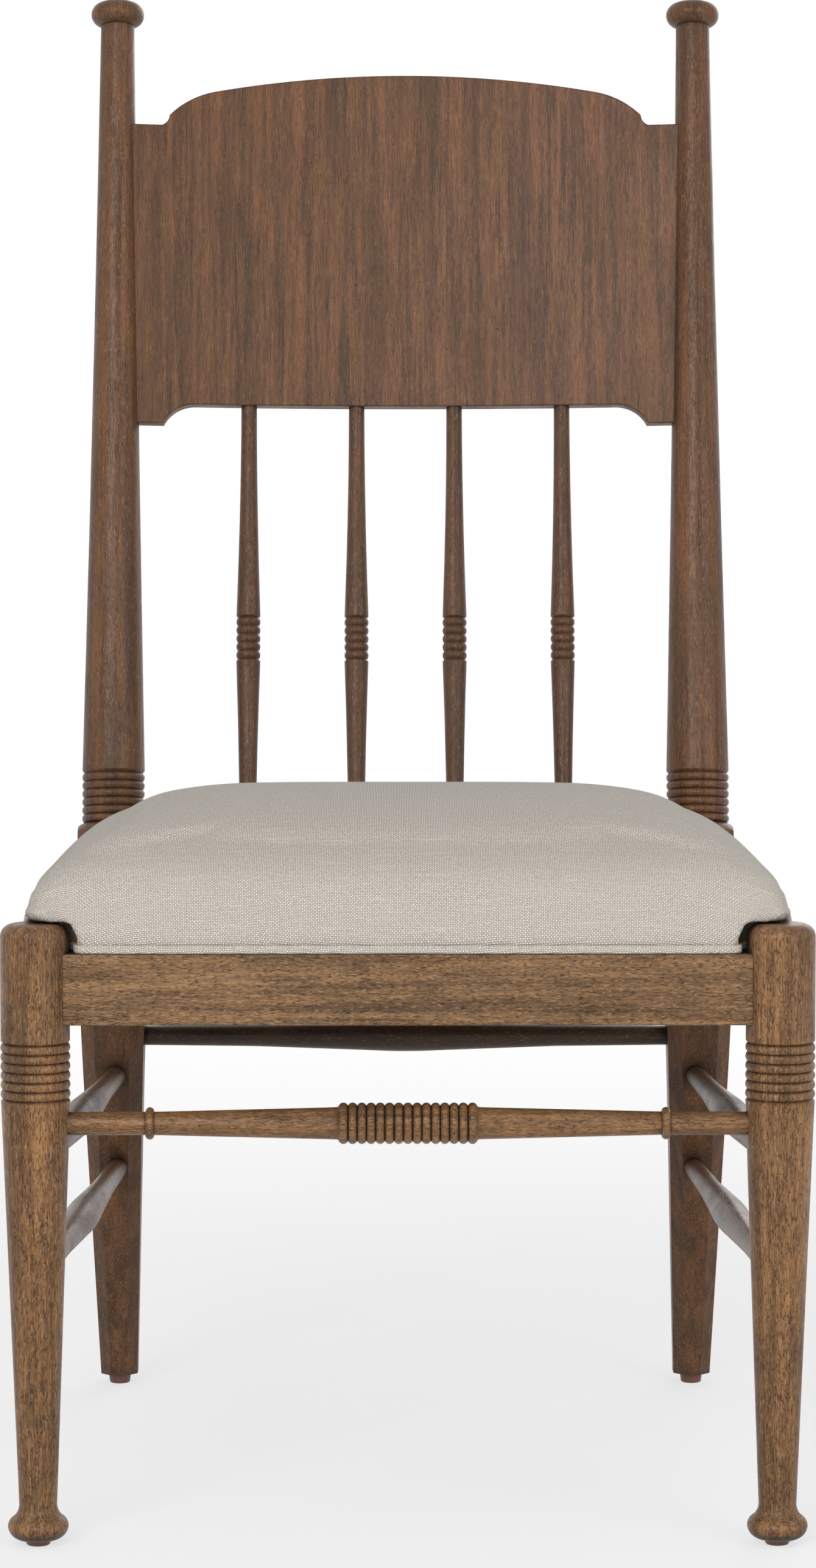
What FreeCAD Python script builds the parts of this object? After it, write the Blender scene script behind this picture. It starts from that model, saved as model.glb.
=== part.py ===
import FreeCAD, Part
import math
import os

# Dining chair with turned front legs, leaning back posts with knobs, a broad bent panel
# over four turned spindles, ringed stretchers and a crowned linen seat cushion.
# Millimetres. +X to the viewer's right, the front of the chair faces -Y, +Z up.
# The model is drawn from the axes of the front legs (y = 0) and the floor (z = 0).
# At the end the whole chair is moved so that the origin lies under the middle of its box.

V = FreeCAD.Vector

# Clearances between pieces
joint_gap = 0.10
cloth_gap = 0.30

# Front legs
front_leg_x = 249.6
front_leg_r = 23.2
front_leg_top = 421.5
front_leg_top_r = 9.0
front_ring_low = 303.7
front_ring_pitch = 6.25
front_ring_count = 6
front_ring_bead_r = 23.4
front_ring_groove_r = 21.8
ring_lead = 1.5
ankle_z = 27.4
ankle_r = 12.75
pad_r = 20.45
pad_z = 12.4
pad_sole_r = 12.5
pad_brow_r = 16.45
pad_brow_z = 19.2
pad_under_swell_height = 2.0
pad_brow_swell_height = 1.1
ankle_flare_height = 0.9

# Back posts: raked leg, curved seat block, leaning turned post
back_post_x = 228.0
back_foot_y = 511.5
leg_rake_deg = 12.0
back_lean_deg = 9.0
lean_pivot_y = 464.0
lean_pivot_z = 440.0
bend_radius = 587.0
foot_half_width = 14.4
block_half_width = 26.75
block_taper_z = 357.0
foot_chamfer_width = 8.0
block_chamfer_width = 11.0
shoulder_rim_r = 33.0
shoulder_rim_drop = 3.0
shoulder_swell_height = 2.4

# Turned part of the back posts, heights measured up the leaning axis from the pivot
post_ring_low = 11.4
post_ring_pitch = 6.45
post_ring_count = 6
post_ring_bead_r = 24.3
post_ring_groove_r = 22.7
post_shoulder_r = 24.3
post_middle_h = 305.4
post_middle_r = 18.85
post_neck_h = 638.4
post_neck_r = 13.3
knob_rise = 16.3
knob_r = 20.9
knob_brow_r = 14.5
knob_half_height = 12.0
post_ring_lead = 2.2

# Seat frame
rail_top = 402.0
rail_height = 48.0
rail_thickness = 22.0
front_rail_face_y = -12.5
rail_edge_r = 1.5
rear_rail_thickness = 24.0
rear_rail_y = 458.0
tenon_thickness = 10.0
tenon_height = 34.0
tenon_depth = 14.0

# Back panel: its tabs hang a set drop below the neck of the posts, and its heights go from the tabs
panel_thickness = 15.0
panel_bow_depth = 15.0
panel_end_inset = 6.0
panel_edge_r = 1.2
panel_tab_drop = 72.9
panel_tab_height = 238.9
panel_crown_rise = 42.4
panel_bottom_rise = 15.3
panel_crown_radius = 778.0
panel_crown_half = 150.0
shoulder_end_x = 186.5
shoulder_end_rise = 8.0
shoulder_bulge_height = 3.2
cove_top_x = 192.5
cove_bulge_height = 1.6
corner_tab_x = 190.5
corner_open_x = 165.5
corner_radius = 27.7

# Spindles, lengths measured up each spindle from the top of the rear rail
spindle_x = (-123.3, -38.5, 38.5, 123.3)
spindle_seat_back = 1.0
spindle_end_r = 6.15
spindle_quarter_r = 7.05
spindle_ring_r = 9.4
spindle_ring_low = 179.0
spindle_ring_pitch = 6.55
spindle_ring_count = 5
spindle_bead_r = 9.45
spindle_groove_r = 8.2
spindle_socket_depth = 18.0
spindle_tenon_r = 4.5
spindle_tenon_length = 14.0

# Front stretcher
front_stretcher_z = 286.5
front_stretcher_end_r = 7.85
single_bead_x = 173.1
single_bead_half_width = 3.0
single_bead_r = 10.85
ring_band_r = 10.85
band_bead_count = 15
band_bead_pitch = 6.187
band_bead_r = 13.9
band_groove_r = 11.9
band_lead = 1.0

# Rear and side stretchers, which swell towards their middle
rear_stretcher_z = 285.6
side_stretcher_z = {"upper": 257.0, "lower": 182.0}
side_stretcher_back_x = 225.0
swell_end_r = 7.5
swell_start_r = 8.45
swell_start = 116.0
swell_crown_half = 25.0
swell_crown_edge_r = 11.75
swell_r = 12.4
stretcher_socket_depth = 16.0

# Corner blocks and screws
corner_block_size = 62.0
rear_block_size = 80.0
corner_block_nose = 14.0
corner_block_height = 28.0
corner_block_drop = 2.0
block_screw_inset = 19.0
block_screw_grip = 20.0
block_screw_bite = 14.0
screw_r = 2.0
screw_head_r = 4.0
screw_head_height = 2.6
screw_pocket_r = 5.5
seat_screw_bite = 9.0
seat_screw_share = 0.38
block_leg_gap = 1.5

# Seat cushion
cover_thickness = 1.2
cushion_height = 98.0
cushion_front_y = -12.0
cushion_back_y = 449.0
cushion_side_offset = 12.2
cushion_tuck_width = 1.5
cushion_power = 3.57
crown_power = 4.0
crown_core = 10.0
wall_rises = (0.0, 0.09, 0.21)
crown_rises = (0.38, 0.52, 0.64, 0.74, 0.82, 0.885, 0.935, 0.968, 0.987, 0.996)
cushion_corner_r = 22.0
cushion_corner_growth_r = 52.0
leg_notch_gap = 3.8
leg_notch_top_gap = 1.5
post_notch_gap = 3.0
post_notch_r = 8.0
cover_lip = 32.0
board_thickness = 12.0
board_inset = 4.6
dust_cover_thickness = 0.6
dust_cover_gap = 1.5
staple_wire = 0.8
staple_width = 10.0
staple_leg = 8.0
staple_gap = 0.05
staple_margin = 4.5
staples_per_side = 4

# Floor glides and their nails
front_glide_height = 4.0
back_glide_height = 8.0
glide_top_r = 8.9
glide_foot_r = 8.0
glide_edge_width = 0.6
nail_r = 1.25
nail_head_r = 3.0
nail_head_height = 1.2
nail_recess = 1.0
nail_bite = 15.0

lean = math.radians(back_lean_deg)
rake = math.radians(leg_rake_deg)
rail_bottom = rail_top - rail_height
knob_h = post_neck_h + knob_rise
panel_tab_high = post_neck_h - panel_tab_drop
panel_tab_low = panel_tab_high - panel_tab_height
panel_low = panel_tab_low + panel_bottom_rise
panel_crown_high = panel_tab_high + panel_crown_rise
shoulder_end_high = panel_tab_high + shoulder_end_rise
parts = {}


def arc_middle(start, end, bulge):
    """Point beside the middle of a chord, in the XZ plane, bulge to the left of the chord."""
    dx, dz = end[0] - start[0], end[1] - start[1]
    length = math.hypot(dx, dz)
    return ((start[0] + end[0]) / 2 - dz / length * bulge,
            (start[1] + end[1]) / 2 + dx / length * bulge)


class Profile:
    """Outline in the XZ plane, drawn edge by edge: x is the radius or width, z the height."""

    def __init__(self, x, z):
        self.start = (x, z)
        self.point = (x, z)
        self.edges = []

    def line(self, x, z):
        self.edges.append(Part.LineSegment(V(self.point[0], 0, self.point[1]), V(x, 0, z)).toShape())
        self.point = (x, z)
        return self

    def arc(self, middle, x, z):
        edge = Part.Arc(V(self.point[0], 0, self.point[1]), V(middle[0], 0, middle[1]), V(x, 0, z))
        self.edges.append(edge.toShape())
        self.point = (x, z)
        return self

    def bulge(self, x, z, amount):
        return self.arc(arc_middle(self.point, (x, z), amount), x, z)

    def sweep(self, middle, x, z):
        """Long gentle curve through a middle point."""
        points = [V(self.point[0], 0, self.point[1]), V(middle[0], 0, middle[1]), V(x, 0, z)]
        curve = Part.BSplineCurve()
        curve.interpolate(points)
        self.edges.append(curve.toShape())
        self.point = (x, z)
        return self

    def face(self):
        self.line(*self.start)
        return Part.Face(Part.Wire(self.edges))


def turned(profile):
    """Solid of revolution of a profile about the Z axis."""
    return profile.face().revolve(V(0, 0, 0), V(0, 0, 1), 360)


def beads(profile, low, pitch, count, groove_r, bead_r):
    """Row of half-round beads, each between two grooves, going up from low."""
    for index in range(count):
        z = low + index * pitch
        profile.arc((bead_r, z + pitch / 2), groove_r, z + pitch)
    return profile


def lay(shape, base, direction):
    """Copy of a shape drawn up the Z axis, laid from a base point along a direction."""
    turn = FreeCAD.Rotation(V(0, 0, 1), direction)
    copy = shape.copy()
    copy.Placement = FreeCAD.Placement(base, turn).multiply(copy.Placement)
    return copy


def rod(base, direction, radius, length):
    return Part.makeCylinder(radius, length, base, direction)


def box(low, high):
    return Part.makeBox(high.x - low.x, high.y - low.y, high.z - low.z, low)


def mirrored(shape):
    return shape.mirror(V(0, 0, 0), V(1, 0, 0))


def clean(shape):
    """One solid with its split faces joined."""
    return shape.removeSplitter().Solids[0]


def leaned(shape):
    """Shape drawn in the plane of the upright back, leant backwards about the pivot."""
    copy = shape.copy()
    copy.rotate(V(0, 0, 0), V(1, 0, 0), -back_lean_deg)
    copy.translate(V(0, lean_pivot_y, lean_pivot_z))
    return copy


def lean_point(x, v, h):
    """Point at width x, v behind the plane of the back and h up it."""
    return V(x, lean_pivot_y + v * math.cos(lean) + h * math.sin(lean),
             lean_pivot_z - v * math.sin(lean) + h * math.cos(lean))


# Line of the back leg: a raked straight, one arc, then the leaning straight
corner_z = (back_foot_y - lean_pivot_y + back_glide_height * math.tan(rake)
            + lean_pivot_z * math.tan(lean)) / (math.tan(rake) + math.tan(lean))
corner_y = lean_pivot_y + (corner_z - lean_pivot_z) * math.tan(lean)
bend_reach = bend_radius * math.tan((rake + lean) / 2)
bend_low = (corner_y + bend_reach * math.sin(rake), corner_z - bend_reach * math.cos(rake))
bend_high = (corner_y + bend_reach * math.sin(lean), corner_z + bend_reach * math.cos(lean))
bend_centre = (bend_low[0] + bend_radius * math.cos(rake), bend_low[1] + bend_radius * math.sin(rake))


def back_leg_y(z):
    """Depth of the back leg's centre line at a height."""
    if z <= bend_low[1]:
        return bend_low[0] + (bend_low[1] - z) * math.tan(rake)
    if z >= bend_high[1]:
        return lean_pivot_y + (z - lean_pivot_z) * math.tan(lean)
    return bend_centre[0] - math.sqrt(bend_radius ** 2 - (z - bend_centre[1]) ** 2)


def back_leg_half(z):
    """Half the width of the back leg at a height."""
    share = min(1.0, (z - back_glide_height) / (block_taper_z - back_glide_height))
    return foot_half_width + share * (block_half_width - foot_half_width)


def back_leg_section(z, grow):
    """Chamfered square section of the back leg at a height."""
    share = min(1.0, (z - back_glide_height) / (block_taper_z - back_glide_height))
    half = back_leg_half(z) + grow
    cut = foot_chamfer_width + share * (block_chamfer_width - foot_chamfer_width)
    x, y = back_post_x, back_leg_y(z)
    inner = half - cut
    ring = [(half, -inner), (half, inner), (inner, half), (-inner, half),
            (-half, inner), (-half, -inner), (-inner, -half), (inner, -half)]
    points = [V(x + dx, y + dy, z) for dx, dy in ring]
    return Part.makePolygon(points + points[:1])


block_top_z = lean_pivot_z + (post_ring_low + post_ring_pitch) * math.cos(lean)
bend_step = (bend_high[1] - bend_low[1]) / 4
leg_stations = [back_glide_height]
leg_stations += [back_glide_height + (bend_low[1] - back_glide_height) * share for share in (0.35, 0.7)]
leg_stations += [bend_low[1] + bend_step * index for index in range(5)]
leg_stations += [block_top_z]


def back_leg_body(grow):
    """Right back leg and seat block, without the turned post."""
    sections = [back_leg_section(z, grow) for z in leg_stations]
    return Part.makeLoft(sections, True, False)


def knob_drop(radius):
    """Height between the knob's widest line and the line where it has drawn in to a radius."""
    return knob_half_height * math.sqrt(1 - (radius / knob_r) ** 2)


def back_post_turning():
    """Turned post with ring band and knob, from below the block's top to the knob's top."""
    ring_top = post_ring_low + post_ring_pitch * post_ring_count
    knob_low = knob_h - knob_drop(post_neck_r)
    brow_z = knob_h + knob_drop(knob_brow_r)
    top_z = knob_h + knob_half_height
    dome_r = (knob_brow_r ** 2 + (top_z - brow_z) ** 2) / (2 * (top_z - brow_z))
    dome_middle = (knob_brow_r / 2, top_z - dome_r + math.sqrt(dome_r ** 2 - (knob_brow_r / 2) ** 2))
    profile = Profile(0, 0)
    profile.line(post_ring_groove_r, 0)
    profile.line(post_ring_groove_r, post_ring_low)
    beads(profile, post_ring_low, post_ring_pitch, post_ring_count, post_ring_groove_r, post_ring_bead_r)
    profile.line(post_shoulder_r, ring_top + post_ring_lead)
    profile.sweep((post_middle_r, post_middle_h), post_neck_r, post_neck_h)
    profile.line(post_neck_r, knob_low)
    profile.arc((knob_r, knob_h), knob_brow_r, brow_z)
    profile.arc(dome_middle, 0, top_z)
    return turned(profile)


def shoulder_tool():
    """Turned envelope that rounds the top of the square seat block into the ring band."""
    reach = lean_pivot_z / math.cos(lean) + block_half_width
    clear_r = 2 * block_half_width
    profile = Profile(0, -reach)
    profile.line(clear_r + reach * math.tan(rake + lean), -reach)
    profile.line(clear_r, -shoulder_rim_drop - clear_r + shoulder_rim_r)
    profile.line(shoulder_rim_r, -shoulder_rim_drop)
    profile.bulge(post_ring_groove_r, post_ring_low, -shoulder_swell_height)
    profile.line(0, post_ring_low)
    return turned(profile)


def make_back_post():
    """Right back post, before its joints are cut."""
    block = back_leg_body(0).common(leaned_at_post(shoulder_tool()))
    post = block.fuse(leaned_at_post(back_post_turning()))
    return clean(post)


def leaned_at_post(shape):
    copy = leaned(shape)
    copy.translate(V(back_post_x, 0, 0))
    return copy


def make_front_leg():
    """Right front leg, before its joints are cut."""
    ring_top = front_ring_low + front_ring_pitch * front_ring_count
    profile = Profile(0, front_glide_height)
    profile.line(pad_sole_r, front_glide_height)
    profile.bulge(pad_r, pad_z, -pad_under_swell_height)
    profile.bulge(pad_brow_r, pad_brow_z, -pad_brow_swell_height)
    profile.bulge(ankle_r, ankle_z, ankle_flare_height)
    profile.line(front_leg_r, front_ring_low - ring_lead)
    profile.line(front_ring_groove_r, front_ring_low)
    beads(profile, front_ring_low, front_ring_pitch, front_ring_count, front_ring_groove_r,
          front_ring_bead_r)
    profile.line(front_leg_r, ring_top + ring_lead)
    profile.line(front_leg_r, front_leg_top - front_leg_top_r)
    reach = front_leg_top_r * (1 - math.sqrt(0.5))
    profile.arc((front_leg_r - reach, front_leg_top - reach), front_leg_r - front_leg_top_r,
                front_leg_top)
    profile.line(0, front_leg_top)
    leg = turned(profile)
    leg.translate(V(front_leg_x, 0, 0))
    return leg


# Line of the side rails in plan, from the front leg's axis to the back leg's axis
side_back_y = back_leg_y(rail_top - rail_height / 2)
side_angle = math.atan2(front_leg_x - back_post_x, side_back_y)
side_along = V(-math.sin(side_angle), math.cos(side_angle), 0)
side_out = V(math.cos(side_angle), math.sin(side_angle), 0)
side_length = math.hypot(front_leg_x - back_post_x, side_back_y)


def side_point(along, out, z):
    """Point beside the right side rail: along it from the front leg, out from its middle."""
    return V(front_leg_x, 0, z) + side_along * along + side_out * out


def side_x(y, out):
    """Width at depth y of the line that lies out from the middle of the side rail."""
    start = side_point(0, out, 0)
    return start.x - (y - start.y) * math.tan(side_angle)


def side_box(along, out, z):
    """Box beside the right side rail between pairs of limits."""
    block = Part.makeBox(out[1] - out[0], along[1] - along[0], z[1] - z[0], V(out[0], along[0], z[0]))
    block.rotate(V(0, 0, 0), V(0, 0, 1), math.degrees(side_angle))
    block.translate(V(front_leg_x, 0, 0))
    return block


def front_rail_tenon(grow):
    y = front_rail_face_y + rail_thickness / 2
    half = tenon_thickness / 2 + grow
    reach = front_leg_x - math.sqrt(front_leg_r ** 2 - front_rail_face_y ** 2)
    z_low = rail_bottom + (rail_height - tenon_height) / 2
    return box(V(reach - tenon_depth, y - half, z_low - grow),
               V(reach + tenon_depth + grow, y + half, z_low + tenon_height + grow))


def side_rail_tenons(grow):
    half = tenon_thickness / 2 + grow
    z_low = rail_bottom + (rail_height - tenon_height) / 2
    z = (z_low - grow, z_low + tenon_height + grow)
    front = side_box((front_leg_r - tenon_depth - grow, front_leg_r + tenon_depth), (-half, half), z)
    face = side_length - block_half_width
    rear = side_box((face - tenon_depth, face + tenon_depth + grow), (-half, half), z)
    return front, rear


def rear_rail_tenon(grow):
    half = tenon_thickness / 2 + grow
    face = back_post_x - block_half_width
    z_low = rail_bottom + (rail_height - tenon_height) / 2
    return box(V(face - tenon_depth, rear_rail_y - half, z_low - grow),
               V(face + tenon_depth + grow, rear_rail_y + half, z_low + tenon_height + grow))


def eased_long_edges(solid, direction):
    """Solid with its long straight edges eased, which run along a direction."""
    edges = [edge for edge in solid.Edges
             if abs(abs(edge.tangentAt(edge.FirstParameter).dot(direction)) - 1) < 1e-6]
    return solid.makeFillet(rail_edge_r, edges)


def make_rails(grown_leg):
    """Four seat rails with coped shoulders and tenons. Sets the rails in parts."""
    leg_tool = rod(V(front_leg_x, 0, 0), V(0, 0, 1), front_leg_r + joint_gap, front_leg_top)
    low = V(-front_leg_x, front_rail_face_y, rail_bottom)
    high = V(front_leg_x, front_rail_face_y + rail_thickness, rail_top)
    body = eased_long_edges(box(low, high), V(1, 0, 0))
    body = body.cut([leg_tool, mirrored(leg_tool)])
    tenon = front_rail_tenon(0)
    parts["front_rail"] = clean(body.fuse([tenon, mirrored(tenon)]))

    half = rail_thickness / 2
    body = side_box((0, side_length), (-half, half), (rail_bottom, rail_top))
    body = eased_long_edges(body, side_along)
    body = body.cut([leg_tool, grown_leg])
    rail = clean(body.fuse(list(side_rail_tenons(0))))
    parts["right_side_rail"] = rail
    parts["left_side_rail"] = mirrored(rail)

    half = rear_rail_thickness / 2
    low = V(-back_post_x, rear_rail_y - half, rail_bottom)
    high = V(back_post_x, rear_rail_y + half, rail_top)
    body = eased_long_edges(box(low, high), V(1, 0, 0))
    body = body.cut([grown_leg, mirrored(grown_leg)])
    tenon = rear_rail_tenon(0)
    parts["rear_rail"] = clean(body.fuse([tenon, mirrored(tenon)]))


# Back panel
panel_end_x = back_post_x - panel_end_inset
bow_radius = (panel_end_x ** 2 + panel_bow_depth ** 2) / (2 * panel_bow_depth)


def bow_at(x):
    """How far the panel's middle surface lies behind the plane of the posts."""
    return panel_bow_depth - bow_radius + math.sqrt(bow_radius ** 2 - x ** 2)


def panel_outline(grow):
    """Front outline of the panel, symmetric about its middle."""
    end = panel_end_x + grow
    crown_drop = panel_crown_radius - math.sqrt(panel_crown_radius ** 2 - panel_crown_half ** 2)
    crown_edge = (panel_crown_half, panel_crown_high - crown_drop)
    corner_low = panel_tab_low - grow
    chord = math.hypot(corner_tab_x - corner_open_x, panel_low - panel_tab_low)
    corner_bulge = corner_radius - math.sqrt(corner_radius ** 2 - (chord / 2) ** 2)
    profile = Profile(-end, corner_low)
    profile.line(-corner_tab_x, corner_low)
    profile.bulge(-corner_open_x, panel_low, corner_bulge)
    profile.line(corner_open_x, panel_low)
    profile.bulge(corner_tab_x, corner_low, corner_bulge)
    profile.line(end, corner_low)
    profile.line(end, panel_tab_high + grow)
    profile.line(cove_top_x, panel_tab_high + grow)
    profile.bulge(shoulder_end_x, shoulder_end_high, cove_bulge_height)
    profile.bulge(*crown_edge, -shoulder_bulge_height)
    profile.arc((0, panel_crown_high), -crown_edge[0], crown_edge[1])
    profile.bulge(-shoulder_end_x, shoulder_end_high, -shoulder_bulge_height)
    profile.bulge(-cove_top_x, panel_tab_high + grow, cove_bulge_height)
    profile.line(-end, panel_tab_high + grow)
    return profile.face()


def panel_body(grow):
    """Bent panel: its outline cut from a slab between two arcs in plan."""
    depth = 4 * (panel_bow_depth + panel_thickness)
    outline = panel_outline(grow)
    outline.translate(V(0, -depth / 2, 0))
    board = outline.extrude(V(0, depth, 0))
    half = panel_thickness / 2 + grow
    reach = panel_end_x + panel_thickness
    low = panel_tab_low - panel_thickness
    high = panel_crown_high + panel_thickness
    front = [V(x, bow_at(x) - half, low) for x in (-reach, 0, reach)]
    back = [V(x, bow_at(x) + half, low) for x in (reach, 0, -reach)]
    curves = [Part.Arc(*front), Part.LineSegment(front[2], back[0]),
              Part.Arc(*back), Part.LineSegment(back[2], front[0])]
    wire = Part.Wire([curve.toShape() for curve in curves])
    slab = Part.Face(wire).extrude(V(0, 0, high - low))
    return leaned(board.common(slab).Solids[0])


def make_panel():
    panel = panel_body(0)
    back = V(0, math.cos(lean), -math.sin(lean))
    rims = []
    for face in panel.Faces:
        normal = face.normalAt(*face.Surface.parameter(face.CenterOfMass))
        if abs(normal.dot(back)) > 0.9:
            rims += face.Edges
    return panel.makeFillet(panel_edge_r, rims)


def spindle_ends(x):
    """Bottom of a spindle on the rear rail and its top under the panel."""
    bottom = V(x, rear_rail_y + spindle_seat_back, rail_top)
    top = lean_point(x, bow_at(x), panel_low)
    return bottom, top


def spindle_body(x, grow):
    """Turned spindle with its foot in the rear rail and its tenon in the panel."""
    bottom, top = spindle_ends(x)
    length = (top - bottom).Length - joint_gap
    ring_top = spindle_ring_low + spindle_ring_pitch * spindle_ring_count
    profile = Profile(0, -spindle_socket_depth - grow)
    profile.line(spindle_end_r + grow, -spindle_socket_depth - grow)
    profile.line(spindle_end_r + grow, 0)
    if grow == 0:
        low_end = spindle_ring_low - ring_lead
        high_start = ring_top + ring_lead
        profile.sweep((spindle_quarter_r, low_end / 2), spindle_ring_r, low_end)
        profile.line(spindle_groove_r, spindle_ring_low)
        beads(profile, spindle_ring_low, spindle_ring_pitch, spindle_ring_count, spindle_groove_r,
              spindle_bead_r)
        profile.line(spindle_ring_r, high_start)
        profile.sweep((spindle_quarter_r, (high_start + length) / 2), spindle_end_r, length)
    else:
        profile.line(spindle_end_r + grow, length + grow)
    profile.line(spindle_tenon_r + grow, length + grow)
    profile.line(spindle_tenon_r + grow, length + spindle_tenon_length + grow)
    profile.line(0, length + spindle_tenon_length + grow)
    return lay(turned(profile), bottom, (top - bottom).normalize())


def make_front_stretcher():
    """Ringed front stretcher, drawn from one tip to the other and laid along X."""
    tip = front_leg_x - front_leg_r + stretcher_socket_depth
    band_half = band_bead_count * band_bead_pitch / 2
    near = single_bead_x - single_bead_half_width
    far = single_bead_x + single_bead_half_width
    profile = Profile(0, -tip)
    profile.line(front_stretcher_end_r, -tip)
    profile.line(front_stretcher_end_r, -far)
    profile.arc((single_bead_r, -single_bead_x), front_stretcher_end_r, -near)
    profile.line(ring_band_r, -band_half - band_lead)
    profile.line(band_groove_r, -band_half)
    beads(profile, -band_half, band_bead_pitch, band_bead_count, band_groove_r, band_bead_r)
    profile.line(ring_band_r, band_half + band_lead)
    profile.line(front_stretcher_end_r, near)
    profile.arc((single_bead_r, single_bead_x), front_stretcher_end_r, far)
    profile.line(front_stretcher_end_r, tip)
    profile.line(0, tip)
    return lay(turned(profile), V(0, 0, front_stretcher_z), V(1, 0, 0))


def swelling_stretcher(half_length):
    """Turned stretcher, near straight at its ends, swelling to a round crown in its middle."""
    profile = Profile(0, -half_length)
    profile.line(swell_end_r, -half_length)
    profile.line(swell_end_r, -half_length + stretcher_socket_depth)
    profile.line(swell_start_r, -swell_start)
    profile.line(swell_crown_edge_r, -swell_crown_half)
    profile.arc((swell_r, 0), swell_crown_edge_r, swell_crown_half)
    profile.line(swell_start_r, swell_start)
    profile.line(swell_end_r, half_length - stretcher_socket_depth)
    profile.line(swell_end_r, half_length)
    profile.line(0, half_length)
    return turned(profile)


def front_leg_radius(z):
    """Radius of the tapered part of the front leg at a height."""
    share = (z - ankle_z) / (front_ring_low - ankle_z)
    return ankle_r + share * (front_leg_r - ankle_r)


def side_stretcher_line(z):
    """Tips of a right side stretcher, inside the front leg and inside the back leg."""
    face_y = back_leg_y(z) - back_leg_half(z)
    along = V(side_stretcher_back_x - front_leg_x, face_y, 0).normalize()
    front = V(front_leg_x, 0, z) + along * (front_leg_radius(z) - stretcher_socket_depth)
    back = V(side_stretcher_back_x, face_y, z) + along * stretcher_socket_depth
    return front, back


def make_stretchers():
    """Front, rear and side stretchers. Returns the bores for the right legs."""
    parts["front_stretcher"] = make_front_stretcher()
    rear_tip = back_post_x - back_leg_half(rear_stretcher_z) + stretcher_socket_depth
    rear_y = back_leg_y(rear_stretcher_z)
    body = swelling_stretcher(rear_tip)
    parts["rear_stretcher"] = lay(body, V(0, rear_y, rear_stretcher_z), V(1, 0, 0))

    front_tip = front_leg_x - front_leg_r + stretcher_socket_depth
    front_bores = [rod(V(0, 0, front_stretcher_z), V(1, 0, 0), front_stretcher_end_r + joint_gap,
                       front_tip + joint_gap)]
    back_bores = [rod(V(0, rear_y, rear_stretcher_z), V(1, 0, 0), swell_end_r + joint_gap,
                      rear_tip + joint_gap)]
    for level, z in side_stretcher_z.items():
        front, back = side_stretcher_line(z)
        along = (back - front).normalize()
        half_length = (back - front).Length / 2
        middle = (front + back) * 0.5
        body = lay(swelling_stretcher(half_length), middle, along)
        parts["right_" + level + "_side_stretcher"] = body
        parts["left_" + level + "_side_stretcher"] = mirrored(body)
        reach = half_length + joint_gap
        front_bores.append(rod(middle, -along, swell_end_r + joint_gap, reach))
        back_bores.append(rod(middle, along, swell_end_r + joint_gap, reach))
    return front_bores, back_bores


def nail_hole(x, y, z):
    return rod(V(x, y, z), V(0, 0, 1), nail_r + joint_gap, nail_bite + joint_gap)


def make_glide(x, y, height):
    """Round floor glide with tapered side and a recess for its nail."""
    profile = Profile(0, 0)
    profile.line(glide_foot_r - glide_edge_width, 0)
    profile.line(glide_foot_r, glide_edge_width)
    profile.line(glide_top_r, height)
    profile.line(0, height)
    glide = turned(profile)
    recess = nail_recess + nail_head_height
    glide = glide.cut(rod(V(0, 0, 0), V(0, 0, 1), nail_head_r + joint_gap, recess))
    glide = glide.cut(rod(V(0, 0, 0), V(0, 0, 1), nail_r + joint_gap, height))
    glide.translate(V(x, y, 0))
    return glide


def make_nail(x, y, height):
    head = rod(V(x, y, nail_recess), V(0, 0, 1), nail_head_r, nail_head_height)
    top = height + nail_bite
    shank = rod(V(x, y, nail_recess), V(0, 0, 1), nail_r, top - nail_recess)
    return clean(head.fuse(shank))


def wood_screw(seat, direction, length):
    """Screw with a flat round head: seat is where the head bears, the shank runs along direction."""
    head = rod(seat - direction * screw_head_height, direction, screw_head_r, screw_head_height)
    shank = rod(seat - direction * screw_head_height, direction, screw_r, length + screw_head_height)
    return clean(head.fuse(shank))


def screw_cut(seat, direction, length, pocket):
    """Hole for a screw, with a round pocket of a given depth behind the head."""
    hole = rod(seat, direction, screw_r + joint_gap, length + joint_gap)
    well = rod(seat - direction * pocket, direction, screw_pocket_r, pocket)
    return hole.fuse(well)


def block_prism(points):
    top = rail_top - corner_block_drop
    corners = [V(x, y, top - corner_block_height) for x, y in points]
    face = Part.Face(Part.makePolygon(corners + corners[:1]))
    return face.extrude(V(0, 0, corner_block_height))


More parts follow.
